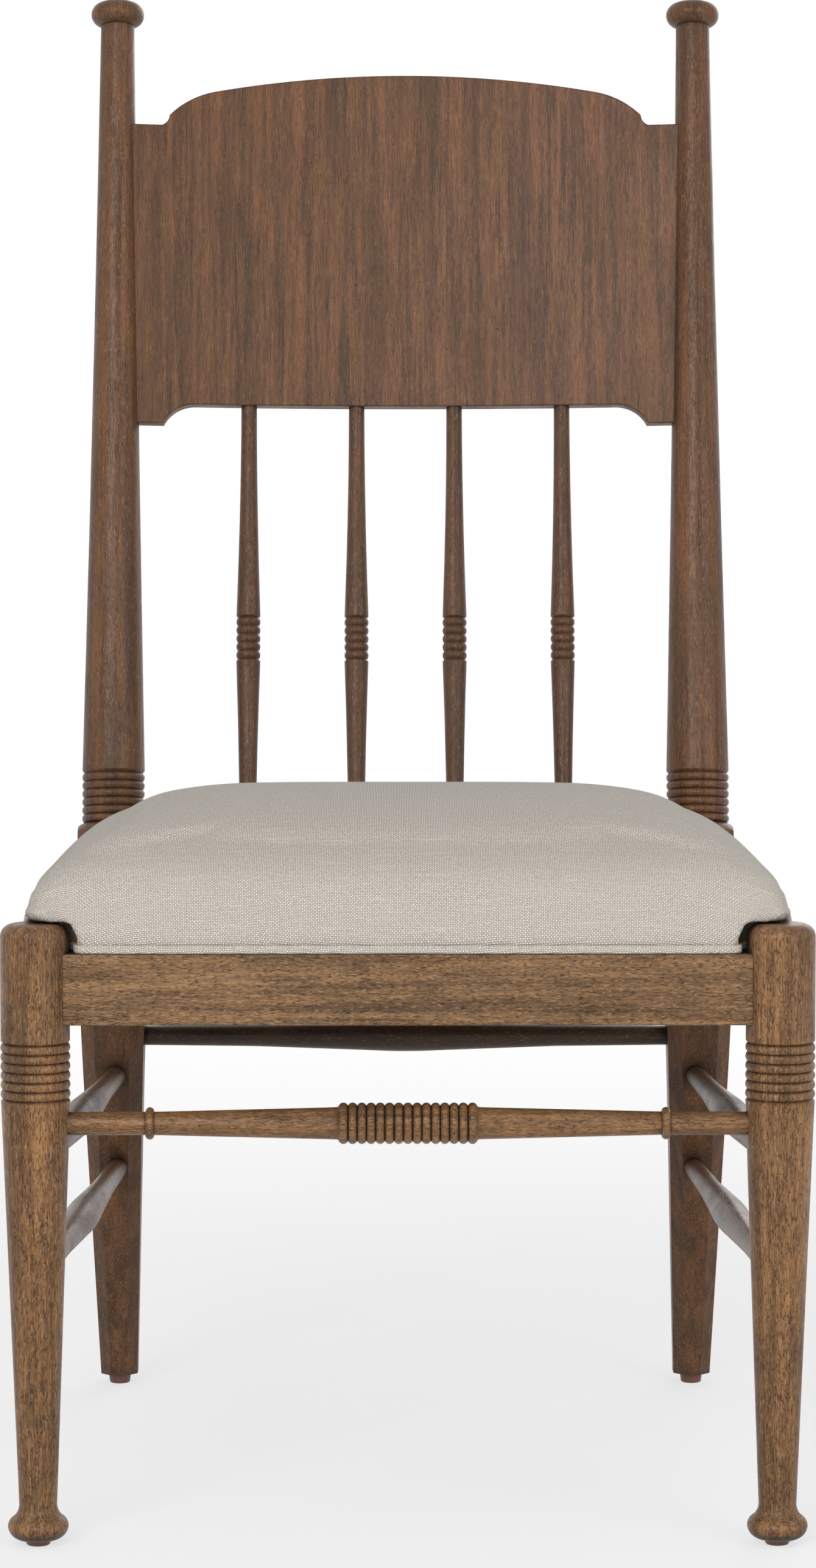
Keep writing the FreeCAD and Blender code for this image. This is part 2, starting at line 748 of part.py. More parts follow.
def make_corner_blocks(grown_leg):
    """Corner blocks, their screws into the rails and the screws up into the seat board."""
    z = rail_top - corner_block_drop - corner_block_height / 2
    inner = -rail_thickness / 2
    length = block_screw_grip + block_screw_bite
    block_screws = []
    seat_screws = []
    rail_cuts = []
    seat_cuts = []
    front_face = front_rail_face_y + rail_thickness
    rear_face = rear_rail_y - rear_rail_thickness / 2
    leg_tool = rod(V(front_leg_x, 0, 0), V(0, 0, 1), front_leg_r + block_leg_gap, front_leg_top)
    for name, face_y, size, inward, tool in (
            ("front", front_face, corner_block_size, 1, leg_tool),
            ("rear", rear_face, rear_block_size, -1, grown_leg)):
        far_y = face_y + inward * size
        near_x = side_x(face_y, inner)
        far_x = side_x(far_y, inner)
        outline = [(near_x, face_y), (near_x - size, face_y),
                   (near_x - size, face_y + inward * corner_block_nose),
                   (far_x - corner_block_nose, far_y), (far_x, far_y)]
        block = block_prism(outline).cut(tool)
        block = max(block.Solids, key=lambda solid: solid.Volume)
        place = size - block_screw_inset
        into_rail = V(0, -inward, 0)
        rail_seat = V(near_x - place, face_y + inward * block_screw_grip, z)
        side_seat_y = face_y + inward * place
        side_seat = V(side_x(side_seat_y, inner), side_seat_y, z) - side_out * block_screw_grip
        for seat, direction in ((rail_seat, into_rail), (side_seat, side_out)):
            block_screws.append(wood_screw(seat, direction, length))
            hole = screw_cut(seat, direction, length, size)
            block = block.cut(hole)
            rail_cuts.append(rod(seat, direction, screw_r + joint_gap, length + joint_gap))
        up = V(0, 0, 1)
        reach = size * seat_screw_share
        middle = V(near_x - reach, face_y + inward * reach, z - corner_block_height / 2)
        rise = corner_block_height + corner_block_drop + cover_thickness + seat_screw_bite
        seat_screws.append(wood_screw(middle, up, rise))
        hole = rod(middle, up, screw_r + joint_gap, rise + joint_gap)
        seat_cuts.append(hole)
        block = block.cut(hole)
        parts[name + "_right_corner_block"] = block.Solids[0]
        parts[name + "_left_corner_block"] = mirrored(block.Solids[0])
    for rail in ("front_rail", "rear_rail", "left_side_rail", "right_side_rail"):
        parts[rail] = parts[rail].cut(rail_cuts + [mirrored(cut) for cut in rail_cuts]).Solids[0]
    parts["corner_block_screws"] = Part.makeCompound(block_screws + [mirrored(s) for s in block_screws])
    parts["seat_screws"] = Part.makeCompound(seat_screws + [mirrored(s) for s in seat_screws])
    return seat_cuts + [mirrored(cut) for cut in seat_cuts]


def rounded_outline(points, radius, z):
    """Closed wire through a polygon with every corner rounded by one radius."""
    edges = []
    count = len(points)
    starts = []
    ends = []
    middles = []
    for index in range(count):
        here = V(*points[index], z)
        before = (V(*points[index - 1], z) - here).normalize()
        after = (V(*points[(index + 1) % count], z) - here).normalize()
        half_angle = before.getAngle(after) / 2
        reach = radius / math.tan(half_angle)
        inward = (before + after).normalize()
        centre = here + inward * (radius / math.sin(half_angle))
        starts.append(here + before * reach)
        middles.append(centre - inward * radius)
        ends.append(here + after * reach)
    for index in range(count):
        edges.append(Part.Arc(starts[index], middles[index], ends[index]).toShape())
        edges.append(Part.LineSegment(ends[index], starts[(index + 1) % count]).toShape())
    return Part.Wire(edges)


def seat_polygon(inset_x, inset_y):
    """Plan of the cushion, drawn in from its widest line, without the notches."""
    front = cushion_front_y + inset_y
    back = cushion_back_y - inset_y
    out = cushion_side_offset - inset_x
    return [(side_x(front, out), front), (side_x(back, out), back),
            (-side_x(back, out), back), (-side_x(front, out), front)]


def crown_inset(rise):
    """Share of the half width that the crowned top has drawn in by, at a share of its rise."""
    return 1 - (1 - rise ** cushion_power) ** (1 / crown_power)


def cushion_loft(shrink):
    """Crowned cushion body, shrunk on every side by one distance."""
    low = rail_top + shrink
    high = rail_top + cushion_height - shrink
    half_x = side_x((cushion_front_y + cushion_back_y) / 2, cushion_side_offset) - crown_core
    half_y = (cushion_back_y - cushion_front_y) / 2 - crown_core
    sections = []
    for rise in wall_rises + crown_rises:
        draw = crown_inset(rise)
        tuck = cushion_tuck_width * max(0, 1 - rise / wall_rises[-1])
        z = low + rise * (high - low)
        inset = shrink + tuck
        outline = seat_polygon(inset + draw * half_x, inset + draw * half_y)
        corner = cushion_corner_r + draw * cushion_corner_growth_r
        sections.append(rounded_outline(outline, corner, z))
    return Part.makeLoft(sections, True, False, False, 3)


def seat_notches(grow):
    """Room round and over the front legs and round the back posts, cut from everything in the seat."""
    low = rail_top - board_thickness
    height = cushion_height + 2 * board_thickness
    leg_room = front_leg_top + leg_notch_top_gap + grow - low
    leg = rod(V(front_leg_x, 0, low), V(0, 0, 1), front_leg_r + leg_notch_gap + grow, leg_room)
    gap = post_notch_gap + grow
    x = back_post_x - block_half_width - gap
    y = back_leg_y(rail_top) - block_half_width - gap
    reach = 4 * block_half_width
    post = box(V(x, y, low), V(x + reach, y + reach, low + height))
    corner = [edge for edge in post.Edges if abs(edge.Length - height) < 1e-6
              and abs(edge.CenterOfMass.x - x) < 1e-6 and abs(edge.CenterOfMass.y - y) < 1e-6]
    post = post.makeFillet(post_notch_r, corner)
    return [leg, mirrored(leg), post, mirrored(post)]


def staple_places():
    """Middle and direction of each staple on the turned-in lip of the cover."""
    places = []
    inner = -rail_thickness / 2 - dust_cover_gap - staple_margin
    front = front_rail_face_y + rail_thickness + dust_cover_gap + staple_margin
    back = rear_rail_y - rear_rail_thickness / 2 - dust_cover_gap - staple_margin
    for index in range(staples_per_side):
        share = (index + 0.5) / staples_per_side
        x = (share - 0.5) * 2 * (side_x(front, inner) - corner_block_size)
        places.append((V(x, front, 0), V(1, 0, 0)))
        places.append((V(x, back, 0), V(1, 0, 0)))
        y = front + corner_block_size + share * (back - front - corner_block_size - rear_block_size)
        here = V(side_x(y, inner), y, 0)
        places.append((here, side_along))
        places.append((V(-here.x, here.y, 0), V(-side_along.x, side_along.y, 0)))
    return places


def make_staple(place, direction, grow):
    """Wire staple: a crown under the dust cover and two legs up into the board."""
    z = rail_top - dust_cover_thickness
    wire = staple_wire / 2 + grow
    half = staple_width / 2
    crown = Part.makeBox(2 * (half + wire), 2 * wire, staple_wire + grow,
                         V(-half - wire, -wire, -staple_wire))
    legs = [Part.makeBox(2 * wire, 2 * wire, staple_leg + grow, V(x - wire, -wire, 0))
            for x in (-half, half)]
    staple = clean(crown.fuse(legs))
    staple.rotate(V(0, 0, 0), V(0, 0, 1), math.degrees(math.atan2(direction.y, direction.x)))
    staple.translate(V(place.x, place.y, z))
    return staple


def make_seat(seat_cuts):
    """Cover, foam, board, dust cover and staples."""
    outer = cushion_loft(0).cut(seat_notches(0))
    inner = cushion_loft(cover_thickness).cut(seat_notches(cover_thickness))
    lip_edge = seat_polygon(cover_lip, cover_lip)
    opening = Part.Face(rounded_outline(lip_edge, cushion_corner_r, rail_top - board_thickness))
    opening = opening.extrude(V(0, 0, board_thickness + 2 * cover_thickness))
    cover = outer.cut([inner, opening])

    board_low = rail_top + cover_thickness
    board_edge = rounded_outline(seat_polygon(board_inset, board_inset), cushion_corner_r, board_low)
    board = Part.Face(board_edge).extrude(V(0, 0, board_thickness))
    board = board.cut(seat_notches(board_inset - cushion_tuck_width))
    foam = cushion_loft(cover_thickness + cloth_gap).cut(seat_notches(cover_thickness + cloth_gap))
    clear = cushion_height
    under = box(V(-front_leg_x - clear, cushion_front_y - clear, rail_top - clear),
                V(front_leg_x + clear, cushion_back_y + clear, board_low + board_thickness))
    foam = foam.cut(under)

    inside = -rail_thickness / 2 - dust_cover_gap
    front = front_rail_face_y + rail_thickness + dust_cover_gap
    back = rear_rail_y - rear_rail_thickness / 2 - dust_cover_gap
    points = [(side_x(front, inside), front), (side_x(back, inside), back),
              (-side_x(back, inside), back), (-side_x(front, inside), front)]
    corners = [V(x, y, rail_top - dust_cover_thickness) for x, y in points]
    dust = Part.Face(Part.makePolygon(corners + corners[:1])).extrude(V(0, 0, dust_cover_thickness))
    dust = dust.cut(seat_notches(joint_gap)).cut(seat_cuts)

    places = staple_places()
    staples = [make_staple(place, direction, 0) for place, direction in places]
    slots = [make_staple(place, direction, staple_gap) for place, direction in places]
    parts["seat_cover"] = cover.cut(seat_cuts + slots).Solids[0]
    parts["seat_board"] = board.cut(seat_cuts + slots).Solids[0]
    parts["seat_foam"] = foam.Solids[0]
    parts["seat_dust_cover"] = dust.cut(slots).Solids[0]
    parts["seat_staples"] = Part.makeCompound(staples)


def make_chair():
    grown_leg = back_leg_body(joint_gap)
    make_rails(grown_leg)
    front_bores, back_bores = make_stretchers()

    post = make_back_post()
    grown_panel = panel_body(joint_gap)
    foot_y = back_foot_y
    mortises = [side_rail_tenons(joint_gap)[1], rear_rail_tenon(joint_gap), grown_panel,
                nail_hole(back_post_x, foot_y, back_glide_height)]
    post = clean(post.cut(mortises + back_bores))
    parts["right_back_post"] = post
    parts["left_back_post"] = mirrored(post)

    leg = make_front_leg()
    mortises = [front_rail_tenon(joint_gap), side_rail_tenons(joint_gap)[0],
                nail_hole(front_leg_x, 0, front_glide_height)]
    leg = clean(leg.cut(mortises + front_bores))
    parts["right_front_leg"] = leg
    parts["left_front_leg"] = mirrored(leg)

    panel = make_panel()
    sockets = [spindle_body(x, joint_gap) for x in spindle_x]
    parts["back_panel"] = panel.cut(sockets).Solids[0]
    parts["rear_rail"] = parts["rear_rail"].cut(sockets).Solids[0]
    for number, x in enumerate(spindle_x, 1):
        parts["back_spindle_" + str(number)] = spindle_body(x, 0)

    seat_cuts = make_corner_blocks(back_leg_body(block_leg_gap))
    make_seat(seat_cuts)

    nails = []
    for side, sign in (("left", -1), ("right", 1)):
        for end, x, y, height in (("front", front_leg_x, 0, front_glide_height),
                                  ("back", back_post_x, foot_y, back_glide_height)):
            parts[side + "_" + end + "_glide"] = make_glide(sign * x, y, height)
            nails.append(make_nail(sign * x, y, height))
    parts["glide_nails"] = Part.makeCompound(nails)


make_chair()
boxes = [shape.optimalBoundingBox(False, False) for shape in parts.values()]
low = V(min(b.XMin for b in boxes), min(b.YMin for b in boxes), min(b.ZMin for b in boxes))
high = V(max(b.XMax for b in boxes), max(b.YMax for b in boxes), max(b.ZMax for b in boxes))
shift = V(-(low.x + high.x) / 2, -(low.y + high.y) / 2, -low.z)
os.makedirs("parts", exist_ok=True)
for name, shape in parts.items():
    shape.translate(shift)
    shape.exportStep("parts/" + name + ".step")
    print(name, len(shape.Solids), "solids", round(shape.Volume), "mm3", "valid", shape.isValid())
print("box", [round(v, 2) for v in high - low], "moved by", [round(v, 3) for v in shift])
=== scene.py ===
import math

import bmesh
import bpy
import numpy as np
from mathutils import Euler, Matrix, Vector


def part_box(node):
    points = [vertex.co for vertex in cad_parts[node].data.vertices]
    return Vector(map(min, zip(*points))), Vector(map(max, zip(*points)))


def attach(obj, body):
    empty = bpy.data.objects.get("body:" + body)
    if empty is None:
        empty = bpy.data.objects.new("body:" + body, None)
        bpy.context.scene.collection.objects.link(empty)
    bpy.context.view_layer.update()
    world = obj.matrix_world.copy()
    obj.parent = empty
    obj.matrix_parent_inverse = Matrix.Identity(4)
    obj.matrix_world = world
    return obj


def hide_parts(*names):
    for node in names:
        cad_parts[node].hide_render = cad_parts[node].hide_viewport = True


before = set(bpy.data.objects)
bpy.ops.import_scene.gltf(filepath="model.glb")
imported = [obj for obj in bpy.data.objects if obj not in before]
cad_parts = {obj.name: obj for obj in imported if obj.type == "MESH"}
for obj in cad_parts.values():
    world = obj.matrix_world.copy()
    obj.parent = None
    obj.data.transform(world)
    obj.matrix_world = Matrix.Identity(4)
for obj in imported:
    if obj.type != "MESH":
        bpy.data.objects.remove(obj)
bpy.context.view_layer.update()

MM = 0.001

bl_info = {
    "name": "Turned dining chair",
    "version": (1, 0, 0),
    "blender": (4, 5, 0),
    "location": "View3D > Sidebar > Dining chair",
    "description": "Dresses a turned oak dining chair with stained wood and a linen slip seat",
    "category": "Object",
}

HEM_POINTS = 900

# Crown of the cushion: heights over the rails, then the dome's height and power
DOME_FROM = 28 * MM
EVEN_FROM, EVEN_ALL = 18 * MM, 34 * MM
DOME_TALL, DOME_POWER = 0.98, -0.28
EVEN_ROUNDS = 14
# The cloth keeps its form up to the board's top and starts inside the cover above
INSET_FROM, INSET_ALL = 13 * MM, 34 * MM
WRAP_THICK = 1.2 * MM
CLOTH_FRAMES = 20
EDGE_BAND = 35 * MM
LEG_TOP_ROOM = 1.2 * MM
PLEATS_ROUND_LEG = 17.0
STITCH_PITCH = 3.6 * MM

# Which CAD nodes are cut from which stock; grain is the turn that brings the grain upright
UPRIGHT_TURNINGS = ("left_front_leg", "right_front_leg")
POSTS = ("left_back_post", "right_back_post")
SPINDLES = tuple("back_spindle_" + str(number) for number in (1, 2, 3, 4))
CROSS_RAILS = ("front_rail", "rear_rail")
SIDE_RAILS = ("left_side_rail", "right_side_rail")
SIDE_STRETCHERS = ("left_upper_side_stretcher", "right_upper_side_stretcher",
                   "left_lower_side_stretcher", "right_lower_side_stretcher")
CORNER_BLOCKS = ("front_left_corner_block", "front_right_corner_block",
                 "rear_left_corner_block", "rear_right_corner_block")
GLIDES = ("left_front_glide", "right_front_glide", "left_back_glide", "right_back_glide")
FASTENERS = ("corner_block_screws", "seat_screws", "seat_staples", "glide_nails")
GRAIN_UP = (0.0, 0.0, 0.0)
GRAIN_LEANING = (math.radians(9), 0.0, 0.0)
GRAIN_ACROSS = (0.0, math.radians(90), 0.0)
GRAIN_BACKWARDS = (math.radians(90), 0.0, 0.0)


def linear(hex_colour):
    """Turns an sRGB hex value such as 8A6A4E into the linear colour that Blender mixes."""
    parts = [int(hex_colour[at:at + 2], 16) / 255 for at in (0, 2, 4)]
    return tuple(c / 12.92 if c <= 0.04045 else ((c + 0.055) / 1.055) ** 2.4 for c in parts)


def opaque(colour):
    """A linear colour with full alpha, as a shader's colour socket wants it."""
    return (*colour[:3], 1.0)


# ---------------------------------------------------------------- settings

def shade(name, description, hex_colour):
    """A colour that a user may change."""
    return bpy.props.FloatVectorProperty(name=name, description=description, subtype="COLOR",
                                         size=3, min=0.0, max=1.0, default=linear(hex_colour))


class OakSettings(bpy.types.PropertyGroup):
    """Stain and wear of the oak, with painted shade in its grooves and joints and on the rear stretcher."""
    turning_light: shade("Turned oak, light", "Pale stripes of the front legs and stretchers", "A67A50")
    turning_dark: shade("Turned oak, dark", "Dark stripes of the front legs and stretchers", "6A4A2C")
    post_light: shade("Back posts, light", "Pale stripes of the back posts and spindles", "7F5535")
    post_dark: shade("Back posts, dark", "Dark stripes of the back posts and spindles", "503520")
    rail_light: shade("Rails, light", "Pale stripes of the seat rails", "A07A54")
    rail_dark: shade("Rails, dark", "Dark stripes of the seat rails", "684C30")
    panel_light: shade("Panel, light", "Pale stripes of the back panel", "805434")
    panel_dark: shade("Panel, dark", "Dark stripes of the back panel", "52351F")
    spindle_light: shade("Spindles, light", "Pale stripes of the spindles", "714B31")
    spindle_dark: shade("Spindles, dark", "Dark stripes of the spindles", "4A311F")
    # Painted shade: the rear stretcher's tones are darker than the other oak because it lies in the shade under the
    # seat
    rear_light: shade("Rear stretcher, light", "Pale stripes of the rear stretcher, stained deeper", "4A3525")
    rear_dark: shade("Rear stretcher, dark", "Dark stripes of the rear stretcher, stained deeper", "2F2118")
    # The glaze colour is also painted shade: the ambient occlusion mask lays it in grooves and joints
    glaze: shade("Glaze", "Dark glaze that stays in grooves and joints", "21150D")
    crackle: bpy.props.FloatProperty(name="Crackle", description="How much the lacquer has cracked along the grain",
                                     subtype="FACTOR", min=0.0, max=1.0, default=0.7)
    gloss_roughness: bpy.props.FloatProperty(name="Roughness", description="Roughness of the rubbed lacquer",
                                             subtype="FACTOR", min=0.0, max=1.0, default=0.42)


class CushionSettings(bpy.types.PropertyGroup):
    """Size of the puff and the look of the linen."""
    start_inset: bpy.props.FloatProperty(name="Start inset", description="How far the form starts inside the cover",
                                         unit="LENGTH", min=0.0, max=0.01, default=4.5 * MM)
    voxel: bpy.props.FloatProperty(name="Mesh size", description="Size of the cushion's mesh before it is divided",
                                   unit="LENGTH", min=0.004, max=0.02, default=6.0 * MM)
    pressure: bpy.props.FloatProperty(name="Pressure", description="Air pressure that stands for the foam",
                                      min=0.0, max=20.0, default=4.0)
    swell_cap: bpy.props.FloatProperty(name="Largest swell", description="The most that a point may move outwards",
                                       unit="LENGTH", min=0.0, max=0.02, default=2.8 * MM)
    thread_pitch: bpy.props.FloatProperty(name="Thread pitch", description="Spacing of the linen's threads",
                                          unit="LENGTH", min=0.0002, max=0.005, default=1.15 * MM)
    hem_height: bpy.props.FloatProperty(name="Hem height", description="Height of the sewn band at the foot",
                                        unit="LENGTH", min=0.001, max=0.02, default=5.6 * MM)
    warp: shade("Warp", "Pale threads", "FAF3E9")
    weft: shade("Weft", "Greyer threads", "C6BEB5")
    gap: shade("Gaps", "Shadow between threads", "8A8279")


class StudioSettings(bpy.types.PropertyGroup):
    """Camera and light of the plain studio."""
    lens: bpy.props.FloatProperty(name="Lens", description="Focal length for a 36 mm long side",
                                  subtype="DISTANCE_CAMERA", min=10, max=500, default=95.09)
    distance: bpy.props.FloatProperty(name="Distance", description="Camera in front of the front legs' axes",
                                      unit="LENGTH", min=0.5, max=20, default=2.757)
    height: bpy.props.FloatProperty(name="Camera height", description="Camera above the floor",
                                    unit="LENGTH", min=0, max=5, default=0.710)
    sideways: bpy.props.FloatProperty(name="Camera sideways", description="Camera right of the chair's middle",
                                      unit="LENGTH", min=-5, max=5, default=-0.01055)
    pitch: bpy.props.FloatProperty(name="Pitch", description="How far the camera looks down", subtype="ANGLE",
                                   min=-1.5, max=1.5, default=math.radians(4.05))
    turn: bpy.props.FloatProperty(name="Turn", description="How far the camera turns to the right", subtype="ANGLE",
                                  min=-1.5, max=1.5, default=math.radians(0.22))
    key_power: bpy.props.FloatProperty(name="Key light", description="Power of the large front light",
                                       subtype="POWER", unit="POWER", min=0, max=1000, default=68)
    fill_power: bpy.props.FloatProperty(name="Fill light", description="Power of the weaker right light",
                                        subtype="POWER", unit="POWER", min=0, max=1000, default=30)
    back_power: bpy.props.FloatProperty(name="Back light", description="Power of the soft light behind the chair",
                                        subtype="POWER", unit="POWER", min=0, max=1000, default=26)
    sky: bpy.props.FloatProperty(name="Room light", description="Strength of the even light from all sides",
                                 min=0, max=2, default=0.45)
    backdrop: shade("Backdrop", "Colour that the camera sees behind the chair", "FFFFFF")
    floor: shade("Floor", "Colour of the floor", "F4F4F4")


class ChairSettings(bpy.types.PropertyGroup):
    """Everything that a user may change."""
    oak: bpy.props.PointerProperty(type=OakSettings, name="Oak", description="Stain and wear of the oak")
    cushion: bpy.props.PointerProperty(type=CushionSettings, name="Cushion", description="Form and linen of the seat")
    studio: bpy.props.PointerProperty(type=StudioSettings, name="Studio", description="Camera and light")


# ---------------------------------------------------------------- small helpers

def add_node(tree, kind, links=None, **settings):
    """Adds one shader node, named by its kind, with its settings; links gives each input a value or the output
    that feeds it."""
    node = tree.nodes.new("ShaderNode" + kind)
    for setting, value in settings.items():
        setattr(node, setting, value)
    for socket, source in (links or {}).items():
        if isinstance(source, bpy.types.NodeSocket):
            tree.links.new(source, node.inputs[socket])
        else:
            node.inputs[socket].default_value = source
    return node


def start_material(name):
    """An empty node material and its output node."""
    material = bpy.data.materials.new(name)
    material.use_nodes = True
    material.node_tree.nodes.clear()
    return material, material.node_tree, add_node(material.node_tree, "OutputMaterial")


def dress(nodes, material):
    """Gives CAD nodes a material in place of their plain one."""
    for node in nodes:
        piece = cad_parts[node]
        for holder in piece.material_slots:
            holder.material = material


def points_of(mesh):
    """All points of a mesh as rows of x, y, z."""
    rows = np.zeros(len(mesh.vertices) * 3)
    mesh.vertices.foreach_get("co", rows)
    return rows.reshape(-1, 3)


def set_points(mesh, rows):
    """Puts rows of x, y, z back into a mesh."""
    mesh.vertices.foreach_set("co", np.ascontiguousarray(rows, dtype=np.float32).ravel())
    mesh.update()


def normals_of(mesh):
    """Outward direction at each point."""
    rows = np.zeros(len(mesh.vertices) * 3)
    mesh.vertex_normals.foreach_get("vector", rows)
    return rows.reshape(-1, 3)


def new_piece(name, mesh):
    """An object at the origin that shows a mesh."""
    piece = bpy.data.objects.new(name, mesh)
    bpy.context.scene.collection.objects.link(piece)
    return piece


def smooth(mesh):
    """Shades every face of a mesh smooth."""
    mesh.polygons.foreach_set("use_smooth", np.ones(len(mesh.polygons), dtype=bool))


def finish_modifiers(piece):
    """Makes what the modifiers give the piece's own mesh."""
    shown = piece.evaluated_get(bpy.context.evaluated_depsgraph_get())
    made = bpy.data.meshes.new_from_object(shown)
    piece.modifiers.clear()
    old, piece.data = piece.data, made
    bpy.data.meshes.remove(old)


def soft_step(low, high, value):
    """0 below low, 1 above high and a smooth rise between."""
    share = np.clip((value - low) / (high - low), 0.0, 1.0)
    return share * share * (3 - 2 * share)


def closed_grid(name, rows):
    """Mesh from a grid of points that closes both ways: rows x columns x 3, faces outwards where
    the rows run anticlockwise seen from above and the columns anticlockwise seen along the path."""
    around, across = rows.shape[:2]
    start = np.arange(around)[:, None] * across
    after = (np.arange(around)[:, None] + 1) % around * across
    here = np.arange(across)[None, :]
    beside = (here + 1) % across
    faces = np.stack([start + here, after + here, after + beside, start + beside], axis=-1)
    mesh = bpy.data.meshes.new(name)
    mesh.from_pydata(rows.reshape(-1, 3).tolist(), [], faces.reshape(-1, 4).tolist())
    mesh.update()
    smooth(mesh)
    return mesh


# ---------------------------------------------------------------- wood

# Size of each feature across and along the grain, in mm
GRAIN_MM = {
    "stripe": (9.0, 260.0),     # growth rings cut lengthwise
    "fibre": (0.8, 9.0),        # bundles of fibres, drawn as coarse as they show
    "streak": (3.4, 70.0),      # dark early wood
    "board": (27.0, 170.0),     # broad bands of one tone
    "patch": (42.0, 80.0),      # grey smears of the glaze
    "pore": (0.6, 13.0),        # oak pores are 0.3 mm wide, drawn 0.6 mm so that they show
    "crack": (2.8, 12.0),       # cracks of the lacquer along the grain
    "dash": (0.9, 4.2),         # short dark dashes where the glaze lies in torn grain
    "fleck": (1.5, 5.5),        # rubbed pale flecks
    "speck": (8.5, 8.5),        # spatter and worm holes
}


def stained_oak(name, grain, light, dark, settings, crackle=0.5, streak=0.6, gloss=0.0):
    """Oak, stained brown, glazed dark in its hollows with painted shade in its grooves and joints, lacquered and
    rubbed. It gives the eye stripes and fine pore lines along the grain, grey smears, grooves and joints darkened by
    glaze and painted shade, pale rubbed flecks and a satin shine."""
    material, tree, output = start_material(name)
    place = add_node(tree, "TexCoord").outputs["Object"]
    turned = add_node(tree, "Mapping", {"Vector": place, "Rotation": grain}).outputs[0]
    scaled = {}
    for feature, (across, along) in GRAIN_MM.items():
        size = (1 / (across * MM), 1 / (across * MM), 1 / (along * MM))
        scaled[feature] = add_node(tree, "Mapping", {"Vector": turned, "Scale": size}).outputs[0]

    noise = {}
    for name, feature, scale, detail, roughness, distortion in (
            ("stripes", "stripe", 1.0, 5.0, 0.62, 0.35), ("fibres", "fibre", 1.0, 3.0, 0.60, 0.0),
            ("streaks", "streak", 1.0, 6.0, 0.70, 0.30), ("bands", "board", 1.0, 4.0, 0.60, 0.50),
            ("patches", "patch", 1.0, 6.0, 0.68, 0.0), ("pores", "pore", 1.0, 3.0, 0.70, 0.0),
            ("cracks", "crack", 1.0, 4.0, 0.55, 0.0), ("cracked", "patch", 2.3, 5.0, 0.75, 0.0),
            ("dashes", "dash", 1.0, 2.0, 0.50, 0.0)):
        noise[name] = add_node(tree, "TexNoise", {
            "Vector": scaled[feature], "Scale": scale, "Detail": detail, "Roughness": roughness,
            "Distortion": distortion}).outputs[0]
    noise["stripes"] = add_node(tree, "Mix", {0: 0.45, 2: noise["stripes"], 3: noise["fibres"]}).outputs[0]
    # A crack follows the line where a noise stretched along the grain passes its middle value
    middle = add_node(tree, "Math", {0: noise["cracks"], 1: 0.5}, operation="SUBTRACT").outputs[0]
    noise["cracks"] = add_node(tree, "Math", {0: middle}, operation="ABSOLUTE").outputs[0]
    cover = {}
    for name, start, end, low, high in (
            ("stripes", 0.41, 0.59, 0.0, 1.0), ("streaks", 0.47, 0.60, 0.0, streak),
            ("bands", 0.40, 0.62, 0.3, 1.0), ("patches", 0.48, 0.68, 0.0, 0.55),
            ("pores", 0.56, 0.62, 0.0, 0.8), ("cracks", 0.006, 0.020, 1.0, 0.0),
            ("cracked", 0.42, 0.60, 0.08 * crackle, crackle), ("dashes", 0.575, 0.62, 0.0, crackle)):
        cover[name] = add_node(tree, "MapRange",
                               {0: noise[name], 1: start, 2: end, 3: low, 4: high}).outputs[0]

    # Streaks keep to the bands, pores are thickest in the streaks, and cracks come in patches
    streaks = add_node(tree, "Math", {0: cover["streaks"], 1: cover["bands"]},
                       operation="MULTIPLY").outputs[0]
    thick = add_node(tree, "MapRange", {0: streaks, 1: 0.0, 2: streak, 3: 0.45, 4: 1.0}).outputs[0]
    pores = add_node(tree, "Math", {0: cover["pores"], 1: thick}, operation="MULTIPLY").outputs[0]
    cracks = add_node(tree, "Math", {0: cover["cracks"], 1: cover["cracked"]},
                      operation="MULTIPLY").outputs[0]
    spots = {}
    for name, near, far, strength, share in (("fleck", 0.12, 0.34, 0.6 * crackle, 0.5),
                                             ("speck", 0.05, 0.10, 0.85, 0.6)):
        cells = add_node(tree, "TexVoronoi", {"Vector": scaled[name], "Scale": 1.0})
        spot = add_node(tree, "MapRange", {0: cells.outputs[0], 1: near, 2: far, 3: strength,
                                                     4: 0.0}).outputs[0]
        picked = add_node(tree, "Math", {0: cells.outputs[1], 1: share},
                          operation="GREATER_THAN").outputs[0]
        spots[name] = add_node(tree, "Math", {0: spot, 1: picked}, operation="MULTIPLY").outputs[0]

    # Glaze and painted shade: the colour darkens towards the glaze colour where ambient occlusion finds hollows less
    # than 14 mm wide and other parts along the joints
    glaze_shade_mask = add_node(tree, "AmbientOcclusion", {"Distance": 14.0 * MM}, samples=8).outputs[1]
    glaze_shade_mask = add_node(tree, "MapRange", {0: glaze_shade_mask, 1: 0.45, 2: 0.97, 3: 0.97, 4: 0.0}).outputs[0]

    colour = add_node(tree, "Mix", {0: cover["stripes"], 6: opaque(light), 7: opaque(dark)},
                      data_type="RGBA").outputs[2]
    for amount, tone in ((streaks, linear("3F2C1E")), (cover["patches"], linear("5A4735")),
                         (pores, linear("332317")), (spots["fleck"], linear("BF9C74")),
                         (cover["dashes"], linear("2E1F14")), (cracks, linear("22160D")),
                         (spots["speck"], linear("1E1510")), (glaze_shade_mask, settings.glaze)):
        colour = add_node(tree, "Mix", {0: amount, 6: colour, 7: opaque(tone)},
                          data_type="RGBA").outputs[2]

